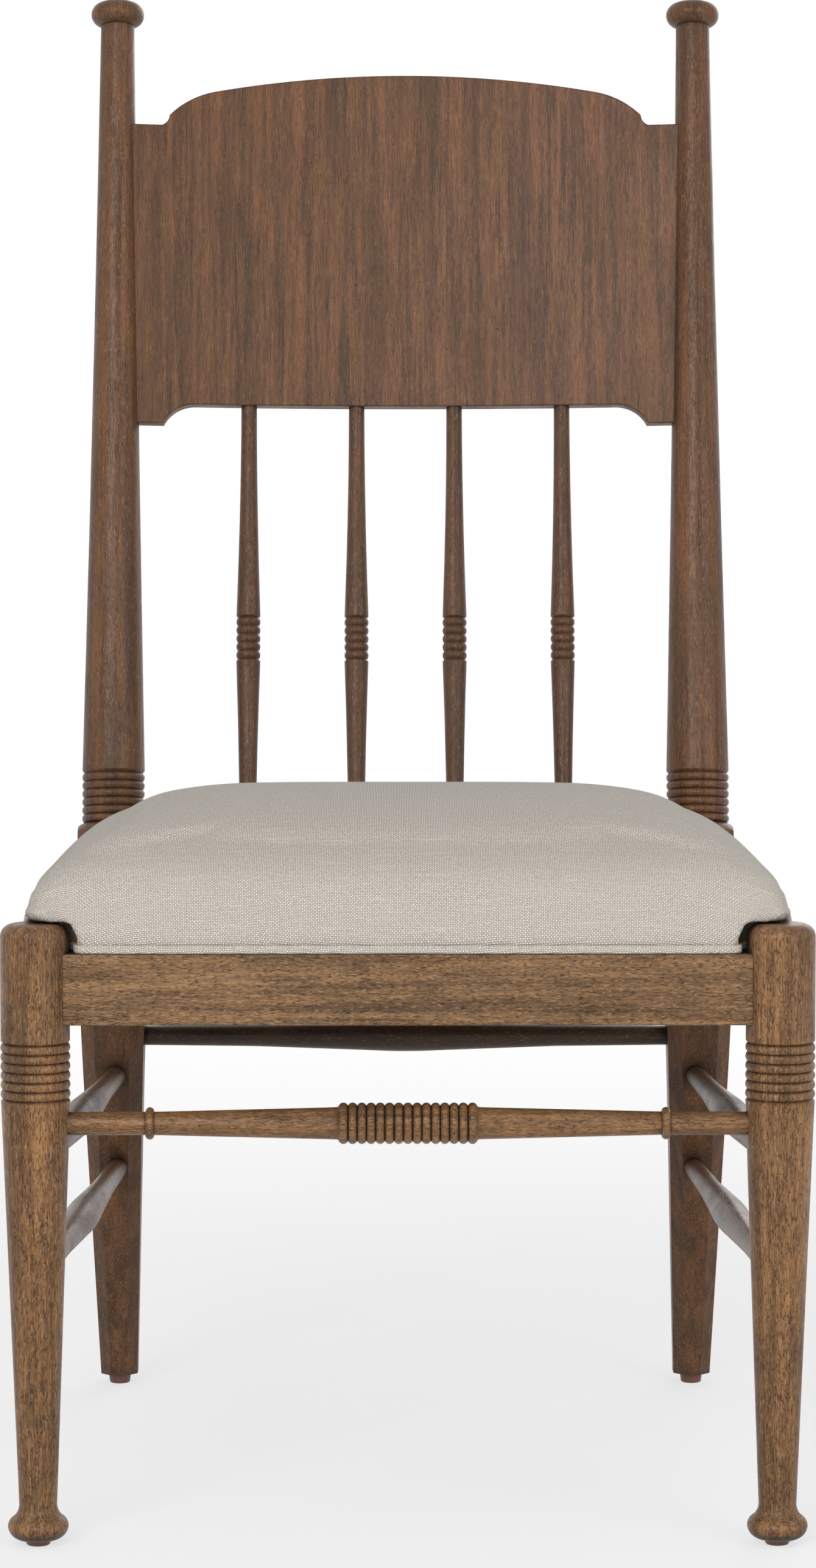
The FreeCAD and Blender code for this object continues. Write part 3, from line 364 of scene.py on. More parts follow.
    pressed = add_node(tree, "Math", {0: pores, 1: 0.35, 2: cracks}, operation="MULTIPLY_ADD").outputs[0]
    for name, depth in (("dashes", 0.6), ("stripes", 0.15)):
        pressed = add_node(tree, "Math", {0: cover[name], 1: depth, 2: pressed},
                           operation="MULTIPLY_ADD").outputs[0]
    relief = add_node(tree, "Bump", {"Height": pressed, "Strength": 0.6, "Distance": 0.6 * MM},
                      invert=True).outputs[0]
    rough = settings.gloss_roughness - gloss
    roughness = add_node(tree, "MapRange", {0: cover["patches"], 1: 0.0, 2: 0.55, 3: rough - 0.05,
                                                      4: rough + 0.14}).outputs[0]
    surface = add_node(tree, "BsdfPrincipled",
                       {"Base Color": colour, "Roughness": roughness, "Normal": relief, "IOR": 1.5,
                        "Specular IOR Level": 0.24, "Coat Weight": 0.06, "Coat Roughness": 0.22,
                        "Coat IOR": 1.5}).outputs[0]
    tree.links.new(surface, output.inputs[0])
    return material


# ---------------------------------------------------------------- other materials

def linen(settings):
    """Undyed linen in plain weave. It gives the eye pale warp ovals over greyer weft, shadowed gaps and slubs."""
    material, tree, output = start_material("undyed_plain_weave_linen")
    lay = add_node(tree, "UVMap", uv_map="thread_lay").outputs[0]
    # Threads lie one pitch apart and wander by a fifth of it over 25 mm
    wander = add_node(tree, "TexNoise", {"Vector": lay, "Scale": 40.0, "Detail": 2.0}).outputs[1]
    wander = add_node(tree, "VectorMath", {0: wander, 1: (0.0011, 0.0011, 0.0)},
                      operation="MULTIPLY").outputs[0]
    lay_true = add_node(tree, "VectorMath", {0: lay, 1: wander}, operation="ADD").outputs[0]
    turns = math.pi / settings.thread_pitch
    counted = add_node(tree, "Mapping", {"Vector": lay_true, "Scale": (turns, turns, 1.0)}).outputs[0]
    axes = add_node(tree, "SeparateXYZ", {0: counted})
    warp_wave = add_node(tree, "Math", {0: axes.outputs[0]}, operation="SINE").outputs[0]
    weft_wave = add_node(tree, "Math", {0: axes.outputs[1]}, operation="SINE").outputs[0]
    over = add_node(tree, "Math", {0: warp_wave, 1: weft_wave}, operation="MULTIPLY").outputs[0]
    warp_up = add_node(tree, "MapRange", {0: over, 1: 0.0, 2: 0.55, 3: 0.0, 4: 1.0},
                       interpolation_type="SMOOTHSTEP").outputs[0]
    weft_up = add_node(tree, "MapRange", {0: over, 1: -0.55, 2: 0.0, 3: 1.0, 4: 0.0},
                       interpolation_type="SMOOTHSTEP").outputs[0]
    # Hand-spun yarn: each float of the warp is a little thicker or thinner than the next
    uneven = add_node(tree, "TexNoise", {"Vector": lay_true, "Scale": 540.0, "Detail": 1.0}).outputs[0]
    uneven = add_node(tree, "MapRange", {0: uneven, 1: 0.32, 2: 0.62, 3: 0.5, 4: 1.0}).outputs[0]
    warp_up = add_node(tree, "Math", {0: warp_up, 1: uneven}, operation="MULTIPLY").outputs[0]
    colour = add_node(tree, "Mix", {0: warp_up, 6: opaque(settings.gap), 7: opaque(settings.warp)},
                      data_type="RGBA").outputs[2]
    colour = add_node(tree, "Mix", {0: weft_up, 6: colour, 7: opaque(settings.weft)},
                      data_type="RGBA").outputs[2]
    # Slubs are threads 25 to 40 mm long that are thicker and paler or darker than the rest
    for size, tone, amount in (((30.0, 800.0, 1.0), "FBF5EA", 0.22), ((800.0, 38.0, 1.0), "A79C90", 0.20)):
        slub = add_node(tree, "Mapping", {"Vector": lay_true, "Scale": size}).outputs[0]
        slub = add_node(tree, "TexNoise", {"Vector": slub, "Scale": 1.0, "Detail": 2.0}).outputs[0]
        slub = add_node(tree, "MapRange", {0: slub, 1: 0.58, 2: 0.72, 3: 0.0, 4: amount}).outputs[0]
        colour = add_node(tree, "Mix", {0: slub, 6: colour, 7: opaque(linear(tone))},
                          data_type="RGBA").outputs[2]
    cloud = add_node(tree, "TexNoise", {"Vector": lay, "Scale": 9.0, "Detail": 3.0}).outputs[0]
    cloud = add_node(tree, "MapRange", {0: cloud, 1: 0.45, 2: 0.7, 3: 0.0, 4: 0.22}).outputs[0]
    colour = add_node(tree, "Mix", {0: cloud, 6: colour, 7: opaque(linear("BDB5AC"))},
                      data_type="RGBA").outputs[2]
    raised = add_node(tree, "Math", {0: warp_up, 1: weft_up}, operation="ADD").outputs[0]
    relief = add_node(tree, "Bump", {"Height": raised, "Strength": 0.55, "Distance": 0.35 * MM}).outputs[0]
    surface = add_node(tree, "BsdfPrincipled",
                       {"Base Color": colour, "Roughness": 0.95, "Normal": relief, "IOR": 1.45,
                        "Specular IOR Level": 0.2, "Sheen Weight": 0.1, "Sheen Roughness": 0.5}).outputs[0]
    tree.links.new(surface, output.inputs[0])
    return material


def sewing_thread():
    """Twisted cotton thread. It gives the eye short pale stitches with a fine twist."""
    material, tree, output = start_material("twisted_cotton_thread")
    place = add_node(tree, "TexCoord").outputs["Object"]
    twist = add_node(tree, "TexWave", {"Vector": place, "Scale": 260.0, "Distortion": 1.5},
                     bands_direction="DIAGONAL").outputs[1]
    colour = add_node(tree, "Mix", {0: twist, 6: opaque(linear("B5AB9D")), 7: opaque(linear("E2D9CB"))},
                      data_type="RGBA").outputs[2]
    relief = add_node(tree, "Bump", {"Height": twist, "Strength": 0.4, "Distance": 0.1 * MM}).outputs[0]
    surface = add_node(tree, "BsdfPrincipled",
                       {"Base Color": colour, "Roughness": 0.85, "Normal": relief, "IOR": 1.45}).outputs[0]
    tree.links.new(surface, output.inputs[0])
    return material


def sawn_beech():
    """Beech, sawn and left bare. It gives the eye pale pinkish wood with short dark rays and saw marks."""
    material, tree, output = start_material("bare_sawn_beech")
    place = add_node(tree, "TexCoord").outputs["Object"]
    # Rays of beech are 2 to 4 mm long and 0.5 mm wide
    long_way = add_node(tree, "Mapping", {"Vector": place, "Scale": (300.0, 1500.0, 1500.0)}).outputs[0]
    rays = add_node(tree, "TexNoise", {"Vector": long_way, "Scale": 1.0, "Detail": 2.0}).outputs[0]
    rays = add_node(tree, "MapRange", {0: rays, 1: 0.52, 2: 0.7, 3: 0.0, 4: 0.7}).outputs[0]
    broad = add_node(tree, "Mapping", {"Vector": place, "Scale": (9.0, 110.0, 110.0)}).outputs[0]
    bands = add_node(tree, "TexNoise", {"Vector": broad, "Scale": 1.0, "Detail": 3.0}).outputs[0]
    colour = add_node(tree, "Mix", {0: bands, 6: opaque(linear("D3B48C")), 7: opaque(linear("B08D66"))},
                      data_type="RGBA").outputs[2]
    colour = add_node(tree, "Mix", {0: rays, 6: colour, 7: opaque(linear("8A6847"))},
                      data_type="RGBA").outputs[2]
    relief = add_node(tree, "Bump", {"Height": rays, "Strength": 0.35, "Distance": 0.3 * MM}).outputs[0]
    surface = add_node(tree, "BsdfPrincipled",
                       {"Base Color": colour, "Roughness": 0.78, "Normal": relief, "IOR": 1.5}).outputs[0]
    tree.links.new(surface, output.inputs[0])
    return material


def birch_plywood():
    """Birch plywood, nine veneers. It gives the eye pale faces and edges striped every 1.3 mm."""
    material, tree, output = start_material("birch_plywood")
    place = add_node(tree, "TexCoord").outputs["Object"]
    layered = add_node(tree, "Mapping", {"Vector": place, "Scale": (2.0, 2.0, 375.0)}).outputs[0]
    plies = add_node(tree, "TexWave", {"Vector": layered, "Scale": 1.0, "Distortion": 0.4},
                     bands_direction="Z").outputs[1]
    grain = add_node(tree, "Mapping", {"Vector": place, "Scale": (14.0, 420.0, 420.0)}).outputs[0]
    grain = add_node(tree, "TexNoise", {"Vector": grain, "Scale": 1.0, "Detail": 3.0}).outputs[0]
    colour = add_node(tree, "Mix", {0: grain, 6: opaque(linear("E0C9A0")), 7: opaque(linear("B99A6C"))},
                      data_type="RGBA").outputs[2]
    plies = add_node(tree, "MapRange", {0: plies, 1: 0.6, 2: 0.9, 3: 0.0, 4: 0.6}).outputs[0]
    colour = add_node(tree, "Mix", {0: plies, 6: colour, 7: opaque(linear("8C6A44"))},
                      data_type="RGBA").outputs[2]
    surface = add_node(tree, "BsdfPrincipled",
                       {"Base Color": colour, "Roughness": 0.7, "IOR": 1.5}).outputs[0]
    tree.links.new(surface, output.inputs[0])
    return material


def dust_cloth():
    """Bonded polypropylene fleece. It gives the eye matt black with a fine dimpled bond and stray fibres."""
    material, tree, output = start_material("bonded_black_fleece")
    place = add_node(tree, "TexCoord").outputs["Object"]
    # Bond points stand 1.6 mm apart
    bond = add_node(tree, "TexVoronoi", {"Vector": place, "Scale": 620.0}).outputs[0]
    fibres = add_node(tree, "TexNoise", {"Vector": place, "Scale": 900.0, "Detail": 4.0,
                                                   "Distortion": 2.0}).outputs[0]
    colour = add_node(tree, "Mix", {0: fibres, 6: opaque(linear("1B1B1B")), 7: opaque(linear("3A3A3A"))},
                      data_type="RGBA").outputs[2]
    relief = add_node(tree, "Bump", {"Height": bond, "Strength": 0.6, "Distance": 0.2 * MM}).outputs[0]
    surface = add_node(tree, "BsdfPrincipled",
                       {"Base Color": colour, "Roughness": 0.92, "Normal": relief, "IOR": 1.45}).outputs[0]
    tree.links.new(surface, output.inputs[0])
    return material


def zinc_plated_steel():
    """Steel, zinc plated. It gives the eye a cool satin metal with faint drawing lines."""
    material, tree, output = start_material("zinc_plated_steel")
    place = add_node(tree, "TexCoord").outputs["Object"]
    lines = add_node(tree, "TexNoise", {"Vector": place, "Scale": 2600.0, "Detail": 2.0}).outputs[0]
    colour = add_node(tree, "Mix", {0: lines, 6: opaque(linear("C9C9C4")), 7: opaque(linear("8E9092"))},
                      data_type="RGBA").outputs[2]
    roughness = add_node(tree, "MapRange", {0: lines, 1: 0.0, 2: 1.0, 3: 0.26, 4: 0.5}).outputs[0]
    surface = add_node(tree, "BsdfPrincipled",
                       {"Base Color": colour, "Metallic": 1.0, "Roughness": roughness}).outputs[0]
    tree.links.new(surface, output.inputs[0])
    return material


def glide_plastic():
    """Polyethylene, moulded reddish brown. It gives the eye a soft shine with fine mould grain and scuffs."""
    material, tree, output = start_material("moulded_brown_polyethylene")
    place = add_node(tree, "TexCoord").outputs["Object"]
    mould = add_node(tree, "TexNoise", {"Vector": place, "Scale": 2200.0, "Detail": 2.0}).outputs[0]
    scuff = add_node(tree, "TexNoise", {"Vector": place, "Scale": 240.0, "Detail": 5.0}).outputs[0]
    scuff = add_node(tree, "MapRange", {0: scuff, 1: 0.5, 2: 0.72, 3: 0.0, 4: 0.45}).outputs[0]
    colour = add_node(tree, "Mix", {0: scuff, 6: opaque(linear("6B4032")), 7: opaque(linear("8E6656"))},
                      data_type="RGBA").outputs[2]
    roughness = add_node(tree, "MapRange", {0: scuff, 1: 0.0, 2: 0.45, 3: 0.4, 4: 0.62}).outputs[0]
    relief = add_node(tree, "Bump", {"Height": mould, "Strength": 0.2, "Distance": 0.1 * MM}).outputs[0]
    surface = add_node(tree, "BsdfPrincipled",
                       {"Base Color": colour, "Roughness": roughness, "Normal": relief, "IOR": 1.54}).outputs[0]
    tree.links.new(surface, output.inputs[0])
    return material


# ---------------------------------------------------------------- seat cushion

def leg_axes():
    """Axes of the two front legs in plan, left then right."""
    axes = []
    for node in UPRIGHT_TURNINGS:
        low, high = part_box(node)
        axes.append(((low.x + high.x) / 2, (low.y + high.y) / 2))
    return np.array(axes)


def copied_form(name, nodes):
    """One mesh with the copies of some CAD nodes, their doubles merged."""
    joined = bmesh.new()
    for node in nodes:
        joined.from_mesh(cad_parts[node].data)
    bmesh.ops.remove_doubles(joined, verts=joined.verts, dist=1e-6)
    mesh = bpy.data.meshes.new(name)
    joined.to_mesh(mesh)
    joined.free()
    return new_piece(name, mesh)


def distance_to_legs(rows):
    """Plan distance of each point from the nearer front leg's axis."""
    gaps = [np.hypot(rows[:, 0] - x, rows[:, 1] - y) for x, y in leg_axes()]
    return np.minimum(*gaps)


def round_crown(piece):
    """Makes the crown a dome from front to back. Above a line 28 mm over the rails, a point's height shrinks by a
    share that grows with its way v from the middle, as 0.98 times (1 + v squared) to the power -0.28. Then
    the crown is smoothed, more and more from 18 to 34 mm above the rails."""
    rows = points_of(piece.data)
    low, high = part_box("seat_cover")
    line = low.z + DOME_FROM
    way = (rows[:, 1] - (low.y + high.y) / 2) / ((high.y - low.y) / 2)
    tall = high.z - low.z
    share = (DOME_TALL * (1 + way ** 2) ** DOME_POWER * tall - DOME_FROM) / (tall - DOME_FROM)
    rows[:, 2] = np.where(rows[:, 2] > line, line + (rows[:, 2] - line) * share, rows[:, 2])
    set_points(piece.data, rows)
    even = piece.modifiers.new("even_crown", "SMOOTH")
    even.factor = 0.5
    even.iterations = EVEN_ROUNDS
    finish_modifiers(piece)
    evened = soft_step(EVEN_FROM, EVEN_ALL, rows[:, 2] - low.z)[:, None]
    set_points(piece.data, rows + (points_of(piece.data) - rows) * evened)


def puff_up(piece, settings):
    """Blows the form up like tight cloth over foam. A point moves by at most the cap and never inwards, less by
    the notches round the legs and posts, and not at all under the seat, where the cloth is tacked."""
    rest = points_of(piece.data)
    out = normals_of(piece.data)
    foot = float(rest[:, 2].min())
    tacked = piece.vertex_groups.new(name="tacked")
    tacked.add(np.flatnonzero(rest[:, 2] < foot + 0.004).tolist(), 1.0, "REPLACE")
    puff = piece.modifiers.new("puff", "CLOTH")
    puff.settings.quality = 6
    puff.settings.mass = 0.3
    puff.settings.tension_stiffness = 18.0
    puff.settings.compression_stiffness = 18.0
    puff.settings.shear_stiffness = 6.0
    puff.settings.bending_stiffness = 0.4
    puff.settings.use_pressure = True
    puff.settings.uniform_pressure_force = settings.pressure
    puff.settings.vertex_group_mass = "tacked"
    puff.settings.effector_weights.gravity = 0.0
    puff.point_cache.frame_start = 1
    puff.point_cache.frame_end = CLOTH_FRAMES
    for step in range(1, CLOTH_FRAMES + 1):
        bpy.context.scene.frame_set(step)
    finish_modifiers(piece)
    bpy.context.scene.frame_set(1)
    moved = points_of(piece.data) - rest
    sunk = np.minimum(np.sum(moved * out, axis=1), 0.0)
    moved -= out * sunk[:, None]
    length = np.linalg.norm(moved, axis=1)
    room = np.maximum(soft_step(0.028, 0.060, distance_to_legs(rest)), soft_step(0.426, 0.448, rest[:, 2]))
    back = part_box("seat_cover")[1].y
    room = np.minimum(room, 1 - soft_step(0.165, 0.2, np.abs(rest[:, 0]))
                      * soft_step(back - 0.060, back - 0.034, rest[:, 1]))
    cap = 0.6 * settings.start_inset + settings.swell_cap * room
    share = np.minimum(1.0, cap / np.maximum(length, 1e-9))
    set_points(piece.data, rest + moved * share[:, None])


def rest_on_legs(piece):
    """Lets the cloth over each front leg down on the leg's top: points under a corner go down to just above it."""
    rows = points_of(piece.data)
    top = max(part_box(node)[1].z for node in UPRIGHT_TURNINGS)
    under = (distance_to_legs(rows) < 0.031) & (normals_of(piece.data)[:, 2] < -0.2) & (rows[:, 2] < top + 0.016)
    rows[:, 2] = np.where(under, top + LEG_TOP_ROOM, rows[:, 2])
    set_points(piece.data, rows)


def pucker(piece):
    """Pulls small pleats into the cloth where it turns into the notches round the front legs: a wave of the angle
    round each leg's axis, 10 mm from crest to crest at the notch, that fades with the way out and up."""
    rows = points_of(piece.data)
    out = normals_of(piece.data)
    foot = float(rows[:, 2].min())
    depth = np.zeros(len(rows))
    for side, (x, y) in zip((-1, 1), leg_axes()):
        around = np.arctan2(rows[:, 1] - y, (rows[:, 0] - x) * -side)
        gap = np.hypot(rows[:, 0] - x, rows[:, 1] - y)
        reach = np.exp(-((gap - 0.027) / 0.020) ** 2)
        rise = rows[:, 2] - foot
        wave = np.cos(around * PLEATS_ROUND_LEG) * soft_step(0.004, 0.014, rise)
        depth += 0.0007 * wave * reach * (1 - soft_step(0.030, 0.060, rise))
    set_points(piece.data, rows + out * depth[:, None])


def seat_plan(rows):
    """Splits each point's plan place into the seat's middle, the part inside a box 35 mm smaller than the seat,
    and the reach out of that box."""
    low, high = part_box("seat_cover")
    middle = np.array([(low.x + high.x) / 2, (low.y + high.y) / 2])
    half = np.array([(high.x - low.x) / 2, (high.y - low.y) / 2]) - EDGE_BAND
    inner = np.clip(rows[:, :2] - middle, -half, half)
    return middle, inner, rows[:, :2] - middle - inner


def crown_terms(inner):
    """Powers of x and y that add up to the height of the crown."""
    x, y = 4 * inner[:, 0], 4 * inner[:, 1]
    return np.stack([x ** 0, y, y ** 2, y ** 3, y ** 4, x ** 2, x ** 4, x ** 2 * y, x ** 2 * y ** 2], axis=1)


def crown_height(mesh):
    """Fits the height of the crown inside the seat's flat middle by least squares."""
    rows = points_of(mesh)
    middle, inner, reach = seat_plan(rows)
    top = (np.abs(reach).max(axis=1) < 1e-6) & (rows[:, 2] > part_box("seat_cover")[0].z + 0.05)
    return np.linalg.lstsq(crown_terms(inner[top]), rows[top, 2], rcond=None)[0]


def lay_threads(mesh, crown):
    """Gives the cloth its lay as a UV map in metres: a point keeps its plan place inside the seat's flat middle,
    and outside it goes on outwards by the way over the edge, taken as the 1.5-norm of the reach out and the drop
    below the crown's height at the edge of the middle."""
    rows = points_of(mesh)
    middle, inner, reach = seat_plan(rows)
    length = np.maximum(np.linalg.norm(reach, axis=1), 1e-9)
    drop = np.maximum(crown_terms(inner) @ crown - rows[:, 2], 0.0)
    way = (length ** 1.5 + drop ** 1.5) ** (1 / 1.5)
    lay = middle + inner + reach * (np.where(length > 1e-6, way, 0.0) / length)[:, None]
    corners = np.zeros(len(mesh.loops), dtype=np.int64)
    mesh.loops.foreach_get("vertex_index", corners)
    layer = mesh.uv_layers.new(name="thread_lay")
    layer.data.foreach_set("uv", lay[corners].ravel())


def foot_outline(mesh, height, count):
    """Plan of the cushion at one height above its foot, as points at even angles round the middle: the farthest
    point in each slice of angle, gaps filled from their neighbours and the whole ring smoothed."""
    rows = points_of(mesh)
    rise = rows[:, 2] - rows[:, 2].min()
    near = rows[(rise > height - 0.004) & (rise < height + 0.004)]
    low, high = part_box("seat_cover")
    middle = np.array([(low.x + high.x) / 2, (low.y + high.y) / 2])
    spokes = near[:, :2] - middle
    angle = np.arctan2(spokes[:, 1], spokes[:, 0])
    reach = np.hypot(spokes[:, 0], spokes[:, 1])
    slices = np.floor((angle + math.pi) / (2 * math.pi) * count).astype(int) % count
    farthest = np.zeros(count)
    np.maximum.at(farthest, slices, reach)
    turns = (np.arange(count) + 0.5) / count * 2 * math.pi - math.pi
    known = farthest > 0
    farthest = np.interp(turns, turns[known], farthest[known], period=2 * math.pi)
    kernel = np.array([1, 4, 6, 4, 1]) / 16
    farthest = np.convolve(np.concatenate([farthest[-2:], farthest, farthest[:2]]), kernel, "valid")
    return middle + np.stack([np.cos(turns), np.sin(turns)], axis=1) * farthest[:, None]


def sew_hem(path, settings):
    """Sewn band along the foot of the cushion: a rounded upright section carried round the cushion's plan."""
    count = len(path)
    along = np.roll(path, -1, axis=0) - np.roll(path, 1, axis=0)
    along /= np.linalg.norm(along, axis=1)[:, None]
    outward = np.stack([along[:, 1], -along[:, 0]], axis=1)
    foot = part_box("seat_cover")[0].z
    tall = settings.hem_height
    section = np.array([(-2.0 * MM, 0.1 * MM), (0.2 * MM, 0.1 * MM), (0.8 * MM, 0.7 * MM), (1.0 * MM, 0.35 * tall),
                        (1.0 * MM, 0.65 * tall), (0.7 * MM, tall - 0.5 * MM), (0.1 * MM, tall),
                        (-0.8 * MM, tall + 0.1 * MM), (-2.0 * MM, 0.5 * tall)])
    rows = np.empty((count, len(section), 3))
    rows[:, :, :2] = path[:, None, :] + outward[:, None, :] * section[None, :, :1]
    rows[:, :, 2] = foot + section[None, :, 1]
    hem = new_piece("seat_hem", closed_grid("seat_hem", rows))
    return hem, outward, foot


def sew_stitches(path, outward, foot, settings):
    """Row of stitches in the hem: one small capsule, 2.6 mm long and 0.7 mm thick, every 3.6 mm along the path."""
    step = np.linalg.norm(np.roll(path, -1, axis=0) - path, axis=1)
    way = np.concatenate([[0], np.cumsum(step)])
    ring = np.concatenate([path, path[:1]])
    count = int(way[-1] / STITCH_PITCH)
    middle_at = (np.arange(count) + 0.5) / count * way[-1]
    centres = np.stack([np.interp(middle_at, way, ring[:, axis]) for axis in (0, 1)], axis=1)
    ring_out = np.concatenate([outward, outward[:1]])
    out = np.stack([np.interp(middle_at, way, ring_out[:, axis]) for axis in (0, 1)], axis=1)
    out /= np.linalg.norm(out, axis=1)[:, None]
    along = np.stack([-out[:, 1], out[:, 0]], axis=1)
    stations = np.array([(-1.3, 0.0), (-1.1, 0.26), (0.0, 0.36), (1.1, 0.26), (1.3, 0.0)]) * MM
    sides = 6
    turn = np.arange(sides) / sides * 2 * math.pi
    # One stitch: rings round a short axis, its two poles kept as single points
    rings = stations[1:-1]
    local = [(stations[0, 0], 0.0, 0.0)]
    for reach, radius in rings:
        local += [(reach, radius * math.cos(angle), radius * math.sin(angle)) for angle in turn]
    local.append((stations[-1, 0], 0.0, 0.0))
    local = np.array(local)
    side = np.arange(sides)
    after = (side + 1) % sides
    last = 1 + (len(rings) - 1) * sides
    caps = np.concatenate([np.stack([0 * side, 1 + after, 1 + side], axis=1),
                           np.stack([last + side, last + after, 0 * side + len(local) - 1], axis=1)])
    walls = np.concatenate([np.stack([side, after, sides + after, sides + side], axis=1) + base
                            for base in range(1, last, sides)])
    rows = np.empty((count, len(local), 3))
    rows[:, :, :2] = (centres[:, None, :] + along[:, None, :] * local[None, :, :1]
                      + out[:, None, :] * (local[None, :, 1:2] + 0.85 * MM))
    rows[:, :, 2] = foot + settings.hem_height - 1.1 * MM + local[None, :, 2]
    first = (np.arange(count) * len(local))[:, None, None]
    faces = (caps + first).reshape(-1, 3).tolist() + (walls + first).reshape(-1, 4).tolist()
    mesh = bpy.data.meshes.new("seat_stitches")
    mesh.from_pydata(rows.reshape(-1, 3).tolist(), [], faces)
    mesh.update()
    smooth(mesh)
    return new_piece("seat_stitches", mesh)


# ---------------------------------------------------------------- operators

class CHAIR_OT_studio(bpy.types.Operator):
    """Builds the floor, the light and the camera."""
    bl_idname = "dining_chair.studio"
    bl_label = "Set up the studio"

    def execute(self, context):
        settings = context.scene.dining_chair.studio
        half = 14.0
        mesh = bpy.data.meshes.new("studio_floor")
        mesh.from_pydata([(-half, -half, 0), (half, -half, 0), (half, half, 0), (-half, half, 0)], [], [(0, 1, 2, 3)])
        floor = new_piece("studio_floor", mesh)
        floor.data.materials.append(self.floor_material(settings))
        self.light_room(context, settings)
        axes_y = float(leg_axes()[:, 1].mean())
        for name, power, place, size in (
                ("key_softbox", settings.key_power, (-1.1, axes_y - 3.1, 2.0), (2.2, 1.8)),
                ("fill_softbox", settings.fill_power, (2.3, axes_y - 2.4, 1.4), (1.8, 1.8)),
                ("back_softbox", settings.back_power, (1.4, axes_y + 3.6, 1.9), (2.4, 1.8))):
            lamp = bpy.data.lights.new(name, "AREA")
            lamp.shape = "RECTANGLE"
            lamp.energy = power
            lamp.size, lamp.size_y = size
            softbox = bpy.data.objects.new(name, lamp)
            softbox.location = place
            aim = Vector((0.0, 0.0, 0.5)) - Vector(place)
            softbox.rotation_euler = aim.to_track_quat("-Z", "Y").to_euler()
            context.scene.collection.objects.link(softbox)
        lens = bpy.data.cameras.new("photo_camera")
        lens.lens = settings.lens
        lens.sensor_width = 36.0
        lens.sensor_fit = "AUTO"
        camera = bpy.data.objects.new("photo_camera", lens)
        camera.location = (settings.sideways, axes_y - settings.distance, settings.height)
        camera.rotation_euler = Euler((math.pi / 2 - settings.pitch, 0.0, -settings.turn))
        context.scene.collection.objects.link(camera)
        context.scene.camera = camera
        context.scene.view_settings.view_transform = "Standard"
        return {"FINISHED"}

    @staticmethod
    def floor_material(settings):
        """Painted studio floor. It gives the eye near white that keeps a faint shadow and fades to the backdrop."""
        material, tree, output = start_material("painted_studio_floor")
        place = add_node(tree, "TexCoord").outputs["Object"]
        speckle = add_node(tree, "TexNoise", {"Vector": place, "Scale": 60.0, "Detail": 3.0}).outputs[0]
        tone = add_node(tree, "Mix", {0: speckle, 6: opaque(settings.floor), 7: opaque(linear("F0F0F0"))},
                        data_type="RGBA").outputs[2]
        paint = add_node(tree, "BsdfDiffuse", {"Color": tone}).outputs[0]
        far = add_node(tree, "VectorMath", {0: place}, operation="LENGTH").outputs[1]
        far = add_node(tree, "MapRange", {0: far, 1: 0.5, 2: 2.6, 3: 0.66, 4: 1.0},
                       interpolation_type="SMOOTHSTEP").outputs[0]
        white = add_node(tree, "Emission", {"Color": opaque(settings.backdrop), "Strength": 1.0}).outputs[0]
        seen = add_node(tree, "MixShader", {0: far, 1: paint, 2: white}).outputs[0]
        ray = add_node(tree, "LightPath")
        view = add_node(tree, "Math", {0: ray.outputs["Is Camera Ray"], 1: ray.outputs["Is Glossy Ray"]},
                        operation="MAXIMUM").outputs[0]
        surface = add_node(tree, "MixShader", {0: view, 1: paint, 2: seen}).outputs[0]
        tree.links.new(surface, output.inputs[0])
        return material

    @staticmethod
    def light_room(context, settings):
        """Even room light, seen as plain white by the camera and in reflections."""
        world = bpy.data.worlds.new("white_room")
        context.scene.world = world
        world.use_nodes = True
        tree = world.node_tree
        tree.nodes.clear()
        output = add_node(tree, "OutputWorld")
        lit = add_node(tree, "Background", {"Color": (1, 1, 1, 1), "Strength": settings.sky}).outputs[0]
        white = add_node(tree, "Background", {"Color": opaque(settings.backdrop), "Strength": 1.0}).outputs[0]
        ray = add_node(tree, "LightPath")
        view = add_node(tree, "Math", {0: ray.outputs["Is Camera Ray"], 1: ray.outputs["Is Glossy Ray"]},
                        operation="MAXIMUM").outputs[0]
        view = add_node(tree, "Math", {0: view, 1: ray.outputs["Is Transmission Ray"]},
                        operation="MAXIMUM").outputs[0]
        mixed = add_node(tree, "MixShader", {0: view, 1: lit, 2: white}).outputs[0]
        tree.links.new(mixed, output.inputs[0])


